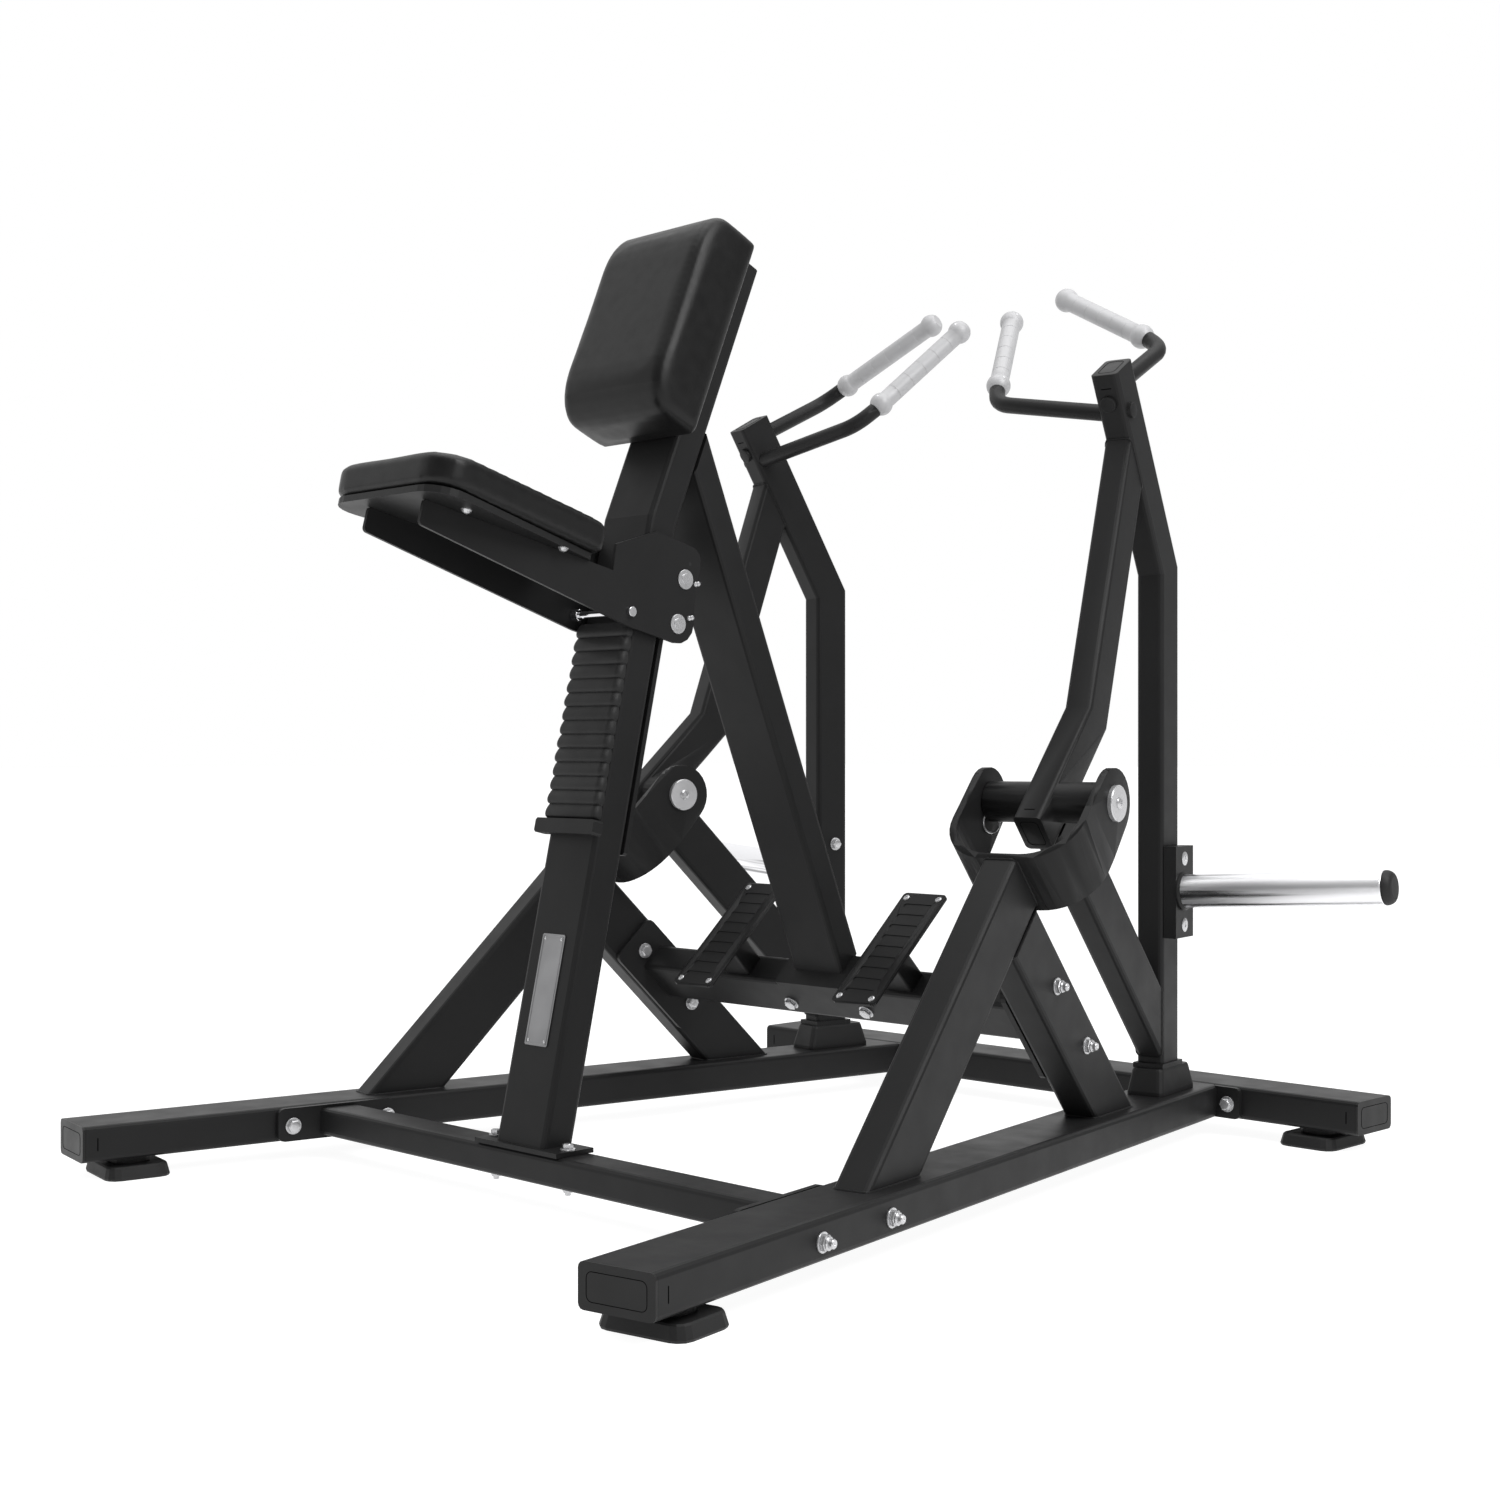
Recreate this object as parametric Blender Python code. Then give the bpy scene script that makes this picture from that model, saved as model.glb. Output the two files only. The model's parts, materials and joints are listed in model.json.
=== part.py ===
"""Plate-loaded, chest-supported seated row with two independent swing arms.

Metres, +Z up, origin on the floor under the middle of the machine.  The seat end
is -Y, the handles and weight sleeves are at +Y, and the machine is symmetric
about X = 0.  Each side stands on a splayed base rail: its pieces are made in a
side frame (w outward from the rail's centre plane, s rearward along the rail,
z up) whose empty is turned about Z by the splay angle.
"""
import math

import bpy
from mathutils import Matrix, Vector

# ---- driving dimensions ---------------------------------------------------
GAP = 0.0003                      # clearance between touching pieces
SPLAY = math.radians(10.0)        # each rail toes in towards the rear
RAIL_FRONT_X = 0.573              # middle of a rail's front end
RAIL_FRONT_Y = -0.7592
RAIL_WIDTH = 0.100
TUBE_HEIGHT = 0.050
RAIL_BOTTOM = 0.028
RAIL_TOP = RAIL_BOTTOM + TUBE_HEIGHT
CAP_THICK = 0.004
CORNER = 0.007                    # outer corner radius of the rectangular tubes

REAR_TUBE_Y = RAIL_FRONT_Y + 1.468
REAR_TUBE_DEPTH = 0.100
REAR_TUBE_HALF = 0.610
PLATE_LENGTH = 0.184              # bolted joint plates
PLATE_THICK = 0.008

FRONT_TUBE_Y = RAIL_FRONT_Y + 0.359
FRONT_TUBE_DEPTH = 0.060
FRONT_TUBE_Z = (0.033, 0.073)
FRONT_PLATE_S = 0.372

STRUT_DEPTH = 0.090
STRUT_WIDTH = 0.050
FRONT_STRUT_S = 0.437             # front edge of its foot on the rail
REAR_STRUT_S = 1.047
STRUT_ANGLE = math.radians(45.3)

PIVOT_S = 0.950
PIVOT_Z = 0.525
EAR_RADIUS = 0.048
EAR_SHOULDER = 0.0515             # below the pivot, where an ear starts to taper
EAR_OUT = 0.100                   # outer face of a bracket ear
BRACKET_THICK = 0.010
WEB_ANGLE = math.radians(-46.0)
WEB_DISTANCE = 0.152              # pivot axis to the web's outer face
WEB_FROM = -0.047                 # web ends, measured along it from the pivot's foot
WEB_TO = 0.0525
BRACKET_BEND = 0.075              # outer radius between web and ears
AXLE_RADIUS = 0.0125
BORE_RADIUS = 0.01256
BORE_STEPS = 40                   # fine enough for the bore to turn clear of the axle
SLEEVE_RADIUS = 0.0285
SLEEVE_HALF = 0.088
WASHER_RADIUS = 0.025
WASHER_THICK = 0.0067

ARM_WIDTH = 0.042
ARM_DEPTH = 0.062
ARM_POINTS = ((0.9055, 0.4840), (1.0680, 0.6420))   # (s, z) of the arm's centre line
ARM_LEAN = math.radians(18.5)
LINK_DEPTH = 0.076
LINK_SUM = 1.4725                 # s + z along the link's centre line
UPRIGHT_S = 1.315
UPRIGHT_BOTTOM = 0.1243
UPRIGHT_BEND_Z = 0.8685
UPRIGHT_LEAN = math.radians(30.0)
UPRIGHT_UPPER = 0.329             # length above the bend
BUMPER_S = 1.325
BUMPER_TOP = 0.118

BLOCK_THICK = 0.020
BLOCK_S = (1.288, 1.352)
BLOCK_Z = (0.314, 0.452)
WEIGHT_SLEEVE_RADIUS = 0.025
WEIGHT_SLEEVE_LENGTH = 0.3074
WEIGHT_SLEEVE_TILT = math.radians(3.2)
WEIGHT_SLEEVE_Z = 0.384
SLEEVE_CAP_LENGTH = 0.014

HANDLE_RADIUS = 0.0125
GRIP_RADIUS = 0.0147
BALL_RADIUS = 0.0190
BALL_FLAT = 0.0150                # ball centre to the face where the tube enters
HANDLE_BEND = 0.050
# (w, s, z): where the tube leaves the upright, its bend, and the two ball centres
INNER_HANDLE = ((-0.0213, 1.170, 1.092), (-0.220, 1.211, 1.129),
                (-0.238, 1.250, 1.165), (-0.283, 1.379, 1.290))
OUTER_HANDLE = ((0.004, 1.1925, 1.1435), (0.006, 1.3155, 1.2062),
                (-0.036, 1.337, 1.233), (-0.192, 1.395, 1.318))

MID_TUBE_Y = RAIL_FRONT_Y + 0.942
MID_TUBE_Z = 0.2335
MID_TUBE_SIZE = (0.0765, 0.050)   # along the rear strut, and across it
MID_PLATE_S = 0.9625
MID_PLATE_Z = 0.228

BRACE_WIDTH = 0.100
BRACE_DEPTH = 0.0455
BRACE_LEAN = math.radians(22.7)
BRACE_FRONT = (RAIL_FRONT_Y + 0.907, 0.262)     # (y, z) on its front face

POST_WIDTH = 0.100
POST_DEPTH = 0.050
POST_FRONT_Y = RAIL_FRONT_Y + 0.3345
POST_BASE_Z = 0.0795
POST_LEAN = math.radians(12.7)
POST_LOWER = 0.8591               # length of the lower section, along its front face
POST_UPPER_LEAN = math.radians(23.0)
POST_UPPER = 0.413
STRIP_THICK = 0.007
STRIP_STANDOFF = 0.004
STRIP_SPAN = (0.398, 0.800)

COLLAR_SPAN = (0.413, 0.433)
BELLOWS_SPAN = (0.4345, 0.7050)
BELLOWS_HALF = 0.054
BELLOWS_PROUD = 0.014
NAMEPLATE_SPAN = (0.130, 0.279)
NAMEPLATE_HALF = 0.023

CHEST_SPAN = (0.1135, 0.4165)      # along the upper post, from the bend
CHEST_HALF = 0.1025
CHEST_THICK = 0.100
CHEST_SIDE_RADIUS = 0.012
# (along, ahead) reach of the rounding at top front, bottom front, bottom rear, top rear
CHEST_CORNERS = ((0.065, 0.032), (0.065, 0.040), (0.005, 0.005), (0.005, 0.005))
CHEST_BOARD_SPAN = (0.135, 0.395)
CHEST_BOARD_HALF = 0.085
CHEST_BOARD_THICK = 0.004

SEAT_ANGLE = math.radians(12.6)   # the seat falls towards the post
SEAT_CORNER = (RAIL_FRONT_Y + 0.1382, 0.9045)     # (y, z) front top of a carriage arm
SEAT_PAD_SPAN = (-0.0274, 0.2816)
SEAT_PAD_HALVES = (0.128, 0.0793)  # half width at the front and at the rear
SEAT_PAD_THICK = 0.043
SEAT_BOARD_SPAN = (-0.0245, 0.2725)
SEAT_BOARD_HALVES = (0.1245, 0.0665)
SEAT_BOARD_THICK = 0.009
CARRIAGE_IN = 0.056               # inner face of a carriage plate
CARRIAGE_THICK = 0.005
ROLLER_RADIUS = 0.009
ROLLER_ALONG = (0.7862, 0.7229)   # roller axes, along the post
LATCH_ALONG = 0.7164
LATCH_AHEAD = 0.017
LATCH_RADIUS = 0.005

FOOT_PLATE_X = 0.165
FOOT_PLATE_HALF = 0.0405
FOOT_PLATE_LOW = (RAIL_FRONT_Y + 0.801, 0.240)  # (y, z) lower end of its top face
FOOT_PLATE_LENGTH = 0.218
FOOT_PLATE_ANGLE = math.radians(42.0)
FOOT_PLATE_THICK = 0.005
FOOT_SUPPORT = (0.050, 0.036)     # section of the short tube under a foot plate

RUBBER_FOOT = (0.118, 0.092)      # across and along the tube it stands under
RUBBER_FOOT_S = 0.079
RUBBER_FOOT_X = 0.525

# ---- scene and materials --------------------------------------------------


def clear_scene():
    for old in list(bpy.data.objects):
        bpy.data.objects.remove(old, do_unlink=True)


def material(name, color, roughness, metallic):
    mat = bpy.data.materials.new(name)
    mat.use_nodes = True
    shader = mat.node_tree.nodes["Principled BSDF"]
    shader.inputs["Base Color"].default_value = (*color, 1.0)
    shader.inputs["Roughness"].default_value = roughness
    shader.inputs["Metallic"].default_value = metallic
    return mat


def finish_of(kind, name):
    """Each node has a material of its own, made from its kind of finish."""
    colors = {
        "frame": ((0.030, 0.030, 0.032), 0.45, 0.0),
        "rubber": ((0.018, 0.018, 0.019), 0.70, 0.0),
        "plastic": ((0.022, 0.022, 0.023), 0.55, 0.0),
        "vinyl": ((0.014, 0.014, 0.015), 0.50, 0.0),
        "chrome": ((0.72, 0.72, 0.72), 0.12, 1.0),
        "steel": ((0.60, 0.60, 0.61), 0.35, 1.0),
        "grip": ((0.66, 0.66, 0.67), 0.30, 1.0),
    }
    return material(name, *colors[kind])


# ---- mesh helpers ---------------------------------------------------------


def rounded_rect(width, depth, radius=CORNER, steps=3):
    """Section points (a, b), counter-clockwise, with arcs at the corners."""
    points = []
    for turn in range(4):
        sign_a = 1 if turn in (0, 3) else -1
        sign_b = 1 if turn in (0, 1) else -1
        for step in range(steps + 1):
            angle = math.pi / 2 * (turn + step / steps)
            points.append((sign_a * (width / 2 - radius) + radius * math.cos(angle),
                           sign_b * (depth / 2 - radius) + radius * math.sin(angle)))
    return points


def oval_cornered(low, high, reaches, steps=6):
    """Rectangle outline, each corner a quarter ellipse with its (a, b) reach."""
    points = []
    for turn, (reach_a, reach_b) in enumerate(reaches):
        a = high[0] - reach_a if turn in (0, 3) else low[0] + reach_a
        b = high[1] - reach_b if turn in (0, 1) else low[1] + reach_b
        for step in range(steps + 1):
            angle = math.pi / 2 * (turn + step / steps)
            points.append((a + reach_a * math.cos(angle), b + reach_b * math.sin(angle)))
    return points


def circle(radius, steps=20):
    return [(radius * math.cos(2 * math.pi * k / steps),
             radius * math.sin(2 * math.pi * k / steps)) for k in range(steps)]


def filleted(corners, steps=4):
    """Outline from (a, b, radius) corners, each rounded by an arc of its radius."""
    outline = []
    count = len(corners)
    for k, (a, b, radius) in enumerate(corners):
        here = Vector((a, b))
        if radius == 0:
            outline.append(here)
            continue
        back = (Vector(corners[k - 1][:2]) - here).normalized()
        ahead = (Vector(corners[(k + 1) % count][:2]) - here).normalized()
        half = back.angle(ahead) / 2
        centre = here + (back + ahead).normalized() * (radius / math.sin(half))
        start = here + back * (radius / math.tan(half)) - centre
        sweep = math.pi - 2 * half
        if back.x * ahead.y - back.y * ahead.x > 0:
            sweep = -sweep
        for step in range(steps + 1):
            angle = sweep * step / steps
            cos, sin = math.cos(angle), math.sin(angle)
            turned = Vector((start.x * cos - start.y * sin, start.x * sin + start.y * cos))
            outline.append(centre + turned)
    return [(p.x, p.y) for p in outline]


def add_mesh(name, verts, faces, kind, parent=None, mirrored=False, sharp=35.0):
    """Make a node; a mirrored one is reflected in x with its faces turned back."""
    if mirrored:
        verts = [(-v[0], v[1], v[2]) for v in verts]
        faces = [tuple(reversed(face)) for face in faces]
    mesh = bpy.data.meshes.new(name)
    mesh.from_pydata([tuple(v) for v in verts], [], faces)
    mesh.validate()
    mesh.shade_smooth()
    mesh.set_sharp_from_angle(angle=math.radians(sharp))
    node = bpy.data.objects.new(name, mesh)
    bpy.context.collection.objects.link(node)
    if kind:
        mesh.materials.append(finish_of(kind, name))
    if parent:
        node.parent = parent
    return node


def outward(verts, faces):
    """Turn every face of a closed ring-built body outwards if its volume is negative."""
    volume = 0.0
    for face in faces:
        first = Vector(verts[face[0]])
        for k in range(1, len(face) - 1):
            volume += first.dot(Vector(verts[face[k]]).cross(Vector(verts[face[k + 1]])))
    if volume < 0:
        return [tuple(reversed(face)) for face in faces]
    return faces


def skin(rings):
    """Closed body through rings of equal point counts, with flat end faces."""
    count = len(rings[0])
    verts = [point for ring in rings for point in ring]
    faces = []
    for r in range(len(rings) - 1):
        for k in range(count):
            nxt = (k + 1) % count
            faces.append((r * count + k, r * count + nxt,
                          (r + 1) * count + nxt, (r + 1) * count + k))
    faces.append(tuple(reversed(range(count))))
    faces.append(tuple(range((len(rings) - 1) * count, len(rings) * count)))
    return verts, outward(verts, faces)


def sweep(points, section, side, start_cut=None, end_cut=None):
    """Section carried along a path, mitred at bends; cuts are (point, normal) planes."""
    points = [Vector(p) for p in points]
    side = Vector(side).normalized()
    rings = []
    for k, point in enumerate(points):
        if k == 0:
            travel = (points[1] - point).normalized()
            plane = start_cut or (point, travel)
        else:
            travel = (point - points[k - 1]).normalized()
            plane = (point, travel)
            if k < len(points) - 1:
                ahead = (points[k + 1] - point).normalized()
                plane = (point, travel + ahead)
            elif end_cut:
                plane = end_cut
        side = (side - travel * side.dot(travel)).normalized()
        up = travel.cross(side)
        at, normal = Vector(plane[0]), Vector(plane[1])
        ring = []
        for a, b in section:
            start = point + side * a + up * b
            ring.append(start + travel * ((at - start).dot(normal) / travel.dot(normal)))
        rings.append(ring)
    return skin(rings)


def extrude(outline, origin, u_axis, v_axis, low, high):
    """Flat outline (u, v) given thickness along u x v, from low to high."""
    origin, u_axis, v_axis = Vector(origin), Vector(u_axis), Vector(v_axis)
    normal = u_axis.cross(v_axis)
    rings = [[origin + u_axis * u + v_axis * v + normal * level for u, v in outline]
             for level in (low, high)]
    return skin(rings)


def turned(profile, origin, axis, side, steps=24):
    """Body of revolution: profile is (distance along axis, radius)."""
    origin, axis = Vector(origin), Vector(axis).normalized()
    side = (Vector(side) - axis * Vector(side).dot(axis)).normalized()
    up = axis.cross(side)
    rings = [[origin + axis * along + side * a + up * b for a, b in circle(radius, steps)]
             for along, radius in profile]
    return skin(rings)


def box(low, high):
    outline = [(low[0], low[1]), (high[0], low[1]), (high[0], high[1]), (low[0], high[1])]
    return extrude(outline, (0, 0, 0), (1, 0, 0), (0, 1, 0), low[2], high[2])


def combine(node, tool_mesh, operation, name, parent=None, mirrored=False):
    """Boolean with a hidden helper made from the tool mesh."""
    tool = add_mesh(name, *tool_mesh, None, parent, mirrored)
    tool.hide_render = True
    tool.display_type = "WIRE"
    modifier = node.modifiers.new(name, "BOOLEAN")
    modifier.operation = operation
    modifier.solver = "EXACT"
    modifier.object = tool


# ---- frames ---------------------------------------------------------------


def empty(name, location, angle=0.0, parent=None):
    marker = bpy.data.objects.new(name, None)
    marker.location = location
    marker.rotation_euler = (0.0, 0.0, angle)
    bpy.context.collection.objects.link(marker)
    marker.parent = parent
    return marker


def in_pivot_frame(points):
    """Side-frame points measured from the pivot axis."""
    return [(w, s - PIVOT_S, z - PIVOT_Z) for w, s, z in points]


def side_to_yz(length, angle):
    return Vector((0.0, math.sin(angle) * length, math.cos(angle) * length))


# ---- base frame -----------------------------------------------------------


def mirrored_wall(w_face):
    """Side-plane walls in world space, w_face outward of each rail's centre plane."""
    walls = []
    for sign in (-1, 1):
        normal = Vector((sign * math.cos(SPLAY), math.sin(SPLAY), 0.0))
        start = Vector((sign * RAIL_FRONT_X, RAIL_FRONT_Y, 0.0))
        walls.append((start + normal * w_face, normal))
    return walls


def make_rail(side, frame, mirrored):
    """Rail, mitred against the rear tube, with its bolted rear plate welded on."""
    section = rounded_rect(RAIL_WIDTH, TUBE_HEIGHT)
    middle = RAIL_BOTTOM + TUBE_HEIGHT / 2
    rear_face = REAR_TUBE_Y - REAR_TUBE_DEPTH / 2 - RAIL_FRONT_Y - GAP
    cut_normal = Vector((math.sin(SPLAY), math.cos(SPLAY), 0.0))
    cut_point = cut_normal * (rear_face - PLATE_THICK / 2)
    rail = add_mesh(side + "_base_rail",
                    *sweep([(0, CAP_THICK, middle), (0, 1.4, middle)], section, (1, 0, 0),
                           end_cut=(cut_point, cut_normal)),
                    "frame", frame, mirrored)
    across = Vector((math.cos(SPLAY), -math.sin(SPLAY), 0.0))
    centre = Vector((0.0, rear_face / math.cos(SPLAY), middle))
    plate = extrude(rounded_rect(PLATE_LENGTH, TUBE_HEIGHT - 0.002, 0.008), centre,
                    across, (0, 0, 1), 0.0, PLATE_THICK)
    combine(rail, plate, "UNION", side + "_rear_plate_weld", frame, mirrored)
    add_mesh(side + "_rail_cap",
             *sweep([(0, 0, middle), (0, CAP_THICK - GAP, middle)],
                    rounded_rect(RAIL_WIDTH, TUBE_HEIGHT), (1, 0, 0)),
             "plastic", frame, mirrored)


def make_rear_tube():
    middle = RAIL_BOTTOM + TUBE_HEIGHT / 2
    section = rounded_rect(REAR_TUBE_DEPTH, TUBE_HEIGHT)
    reach = REAR_TUBE_HALF - CAP_THICK
    add_mesh("rear_cross_tube",
             *sweep([(-reach, REAR_TUBE_Y, middle), (reach, REAR_TUBE_Y, middle)],
                    section, (0, 1, 0)), "frame")
    for side, sign in (("left", -1), ("right", 1)):
        add_mesh(side + "_rear_tube_cap",
                 *sweep([(sign * (reach + GAP), REAR_TUBE_Y, middle),
                         (sign * REAR_TUBE_HALF, REAR_TUBE_Y, middle)],
                        section, (0, 1, 0)), "plastic")


def make_front_tube():
    """Front cross tube between the rails, with its two welded end plates."""
    middle = sum(FRONT_TUBE_Z) / 2
    height = FRONT_TUBE_Z[1] - FRONT_TUBE_Z[0]
    walls = mirrored_wall(-RAIL_WIDTH / 2 - GAP - PLATE_THICK / 2)
    tube = add_mesh("front_cross_tube",
                    *sweep([(-0.4, FRONT_TUBE_Y, middle), (0.4, FRONT_TUBE_Y, middle)],
                           rounded_rect(FRONT_TUBE_DEPTH, height), (0, 1, 0),
                           start_cut=walls[0], end_cut=walls[1]), "frame")
    for k, sign in enumerate((-1, 1)):
        along = Vector((-sign * math.sin(SPLAY), math.cos(SPLAY), 0.0))
        face = mirrored_wall(-RAIL_WIDTH / 2 - GAP)[k][0]
        centre = face + along * FRONT_PLATE_S
        centre.z = RAIL_BOTTOM + TUBE_HEIGHT / 2
        plate = extrude(rounded_rect(PLATE_LENGTH, TUBE_HEIGHT - 0.002, 0.010), centre,
                        along, (0, 0, 1), min(0, -sign * PLATE_THICK),
                        max(0, -sign * PLATE_THICK))
        combine(tube, plate, "UNION", "front_plate_weld_%d" % k)


def make_rubber_foot(name, across, along, parent=None, location=(0, 0), mirrored=False):
    """Flared rubber boot with a narrow neck up to the tube."""
    levels = ((0.0, 0.98, 0.018), (0.003, 1.0, 0.018), (0.0165, 0.93, 0.016),
              (0.0185, 0.89, 0.014), (0.0185, 0.56, 0.018), (RAIL_BOTTOM - GAP, 0.56, 0.018))
    x, y = location
    rings = []
    for z, scale, radius in levels:
        rings.append([Vector((x + a, y + b, z))
                      for a, b in rounded_rect(across * scale, along * scale, radius)])
    add_mesh(name, *skin(rings), "rubber", parent, mirrored)


def make_struts(side, frame, mirrored):
    """Front and rear struts of the side A-frame, cut against the pivot bracket."""
    section = rounded_rect(STRUT_WIDTH, STRUT_DEPTH)
    rise = math.tan(STRUT_ANGLE)
    rail_face = ((0, 0, RAIL_TOP + GAP), (0, 0, 1))
    run = STRUT_DEPTH / math.sin(STRUT_ANGLE)
    foot, web_normal, _ = web_frame()
    web_cut = (foot - web_normal * GAP, web_normal)
    start = Vector((0, FRONT_STRUT_S + run / 2, RAIL_TOP))
    climb = Vector((0, 1, rise)).normalized()
    add_mesh(side + "_front_strut",
             *sweep([start, start + climb * 0.5], section, (1, 0, 0),
                    start_cut=rail_face, end_cut=web_cut), "frame", frame, mirrored)
    behind = climb.cross(Vector((1, 0, 0)))
    rear_face = start + behind * (STRUT_DEPTH / 2 + GAP)
    start = Vector((0, REAR_STRUT_S + run / 2, RAIL_TOP))
    climb = Vector((0, -1, rise)).normalized()
    add_mesh(side + "_rear_strut",
             *sweep([start, start + climb * 0.4], section, (1, 0, 0),
                    start_cut=rail_face, end_cut=(rear_face, behind)),
             "frame", frame, mirrored)


def web_frame():
    """Foot of the pivot on the web's outer face, the web's normal and its direction."""
    along = Vector((0, math.cos(WEB_ANGLE), math.sin(WEB_ANGLE)))
    normal = Vector((0, -math.sin(WEB_ANGLE), math.cos(WEB_ANGLE)))
    return Vector((0, PIVOT_S, PIVOT_Z)) - normal * WEB_DISTANCE, normal, along


def tangent_angle(point, centre, radius, sign):
    """Direction, seen from the circle's centre, of the point where a tangent touches."""
    away = point - centre
    return math.atan2(away.y, away.x) + sign * math.acos(radius / away.length)


def make_bracket(side, frame, mirrored):
    """U bracket: a bent web with two ears, cut to a tapering side profile."""
    foot, normal, along = web_frame()
    bend = BRACKET_BEND
    reach = 0.26
    inside = EAR_OUT - BRACKET_THICK
    outline = filleted([(-EAR_OUT, reach, 0), (-EAR_OUT, 0, bend), (EAR_OUT, 0, bend),
                        (EAR_OUT, reach, 0), (inside, reach, 0),
                        (inside, BRACKET_THICK, bend - BRACKET_THICK),
                        (-inside, BRACKET_THICK, bend - BRACKET_THICK),
                        (-inside, reach, 0)], 10)
    bracket = add_mesh(side + "_pivot_bracket",
                       *extrude(outline, foot, (1, 0, 0), normal, -0.14, 0.14),
                       "frame", frame, mirrored)
    pivot = Vector((PIVOT_S, PIVOT_Z))
    shoulder = WEB_DISTANCE - EAR_SHOULDER
    corners = [foot + along * a + normal * n
               for a, n in ((WEB_FROM, shoulder), (WEB_FROM, -0.001), (WEB_TO, -0.001),
                            (WEB_TO, shoulder))]
    profile = [Vector((c.y, c.z)) for c in corners]
    begin = tangent_angle(profile[-1], pivot, EAR_RADIUS, 1)
    finish = tangent_angle(profile[0], pivot, EAR_RADIUS, -1)
    while finish < begin:
        finish += 2 * math.pi
    steps = 14
    for k in range(steps + 1):
        angle = begin + (finish - begin) * k / steps
        profile.append((pivot.x + EAR_RADIUS * math.cos(angle),
                        pivot.y + EAR_RADIUS * math.sin(angle)))
    blank = extrude(profile, (0, 0, 0), (0, 1, 0), (0, 0, 1), -0.15, 0.15)
    combine(bracket, blank, "INTERSECT", side + "_bracket_profile", frame, mirrored)
    hole = turned([(-0.15, BORE_RADIUS), (0.15, BORE_RADIUS)], (0, PIVOT_S, PIVOT_Z),
                  (1, 0, 0), (0, 1, 0), BORE_STEPS)
    combine(bracket, hole, "DIFFERENCE", side + "_bracket_bore", frame, mirrored)


def make_axle(side, frame, mirrored):
    """Pivot bolt through both ears, with a large washer and low head at each end."""
    face = EAR_OUT + GAP
    end = EAR_OUT + WASHER_THICK
    profile = [(-end, WASHER_RADIUS - 0.001), (-end + 0.001, WASHER_RADIUS),
               (-face, WASHER_RADIUS), (-face, AXLE_RADIUS), (face, AXLE_RADIUS),
               (face, WASHER_RADIUS), (end - 0.001, WASHER_RADIUS),
               (end, WASHER_RADIUS - 0.001)]
    add_mesh(side + "_pivot_axle",
             *turned(profile, (0, PIVOT_S, PIVOT_Z), (1, 0, 0), (0, 1, 0), BORE_STEPS),
             "steel", frame, mirrored)


def make_bumper(side, frame, mirrored):
    """Rubber stop on the rail that the upright's foot comes down on."""
    levels = ((RAIL_TOP + GAP, 0.058, 0.124), (RAIL_TOP + 0.006, 0.058, 0.124),
              (BUMPER_TOP - 0.004, 0.050, 0.106), (BUMPER_TOP - GAP, 0.047, 0.103))
    rings = []
    for z, across, along in levels:
        rings.append([Vector((a, BUMPER_S + b, z))
                      for a, b in rounded_rect(across, along, 0.008)])
    add_mesh(side + "_bumper", *skin(rings), "rubber", frame, mirrored)


def make_mid_tube():
    """Tube between the rear struts, turned with them, with two bolted end plates."""
    along = Vector((0, math.cos(STRUT_ANGLE), -math.sin(STRUT_ANGLE)))
    middle = Vector((0, MID_TUBE_Y, MID_TUBE_Z))
    walls = mirrored_wall(-STRUT_WIDTH / 2 - GAP - PLATE_THICK / 2)
    reach = Vector((0.36, 0, 0))
    tube = add_mesh("mid_cross_tube",
                    *sweep([middle - reach, middle + reach], rounded_rect(*MID_TUBE_SIZE),
                           along, start_cut=walls[0], end_cut=walls[1]), "frame")
    for k, sign in enumerate((-1, 1)):
        level = Vector((-sign * math.sin(SPLAY), math.cos(SPLAY), 0.0))
        slope = level * math.cos(STRUT_ANGLE) - Vector((0, 0, math.sin(STRUT_ANGLE)))
        rise = level * math.sin(STRUT_ANGLE) + Vector((0, 0, math.cos(STRUT_ANGLE)))
        face = mirrored_wall(-STRUT_WIDTH / 2 - GAP)[k][0]
        centre = face + level * MID_PLATE_S + Vector((0, 0, MID_PLATE_Z))
        plate = extrude(rounded_rect(PLATE_LENGTH, STRUT_DEPTH - 0.002, 0.012), centre,
                        slope, rise, min(0, -sign * PLATE_THICK), max(0, -sign * PLATE_THICK))
        combine(tube, plate, "UNION", "mid_plate_weld_%d" % k)


def post_point(along, behind=0.0, x=0.0):
    """Point on the lower seat post, behind its front face."""
    up = side_to_yz(along, POST_LEAN)
    back = Vector((0, math.cos(POST_LEAN), -math.sin(POST_LEAN))) * behind
    return Vector((x, POST_FRONT_Y, POST_BASE_Z)) + up + back


def upper_axes():
    """Upper post: direction along it and the normal of its front face."""
    along = side_to_yz(1.0, POST_UPPER_LEAN)
    ahead = Vector((0, -math.cos(POST_UPPER_LEAN), math.sin(POST_UPPER_LEAN)))
    return along, ahead


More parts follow.
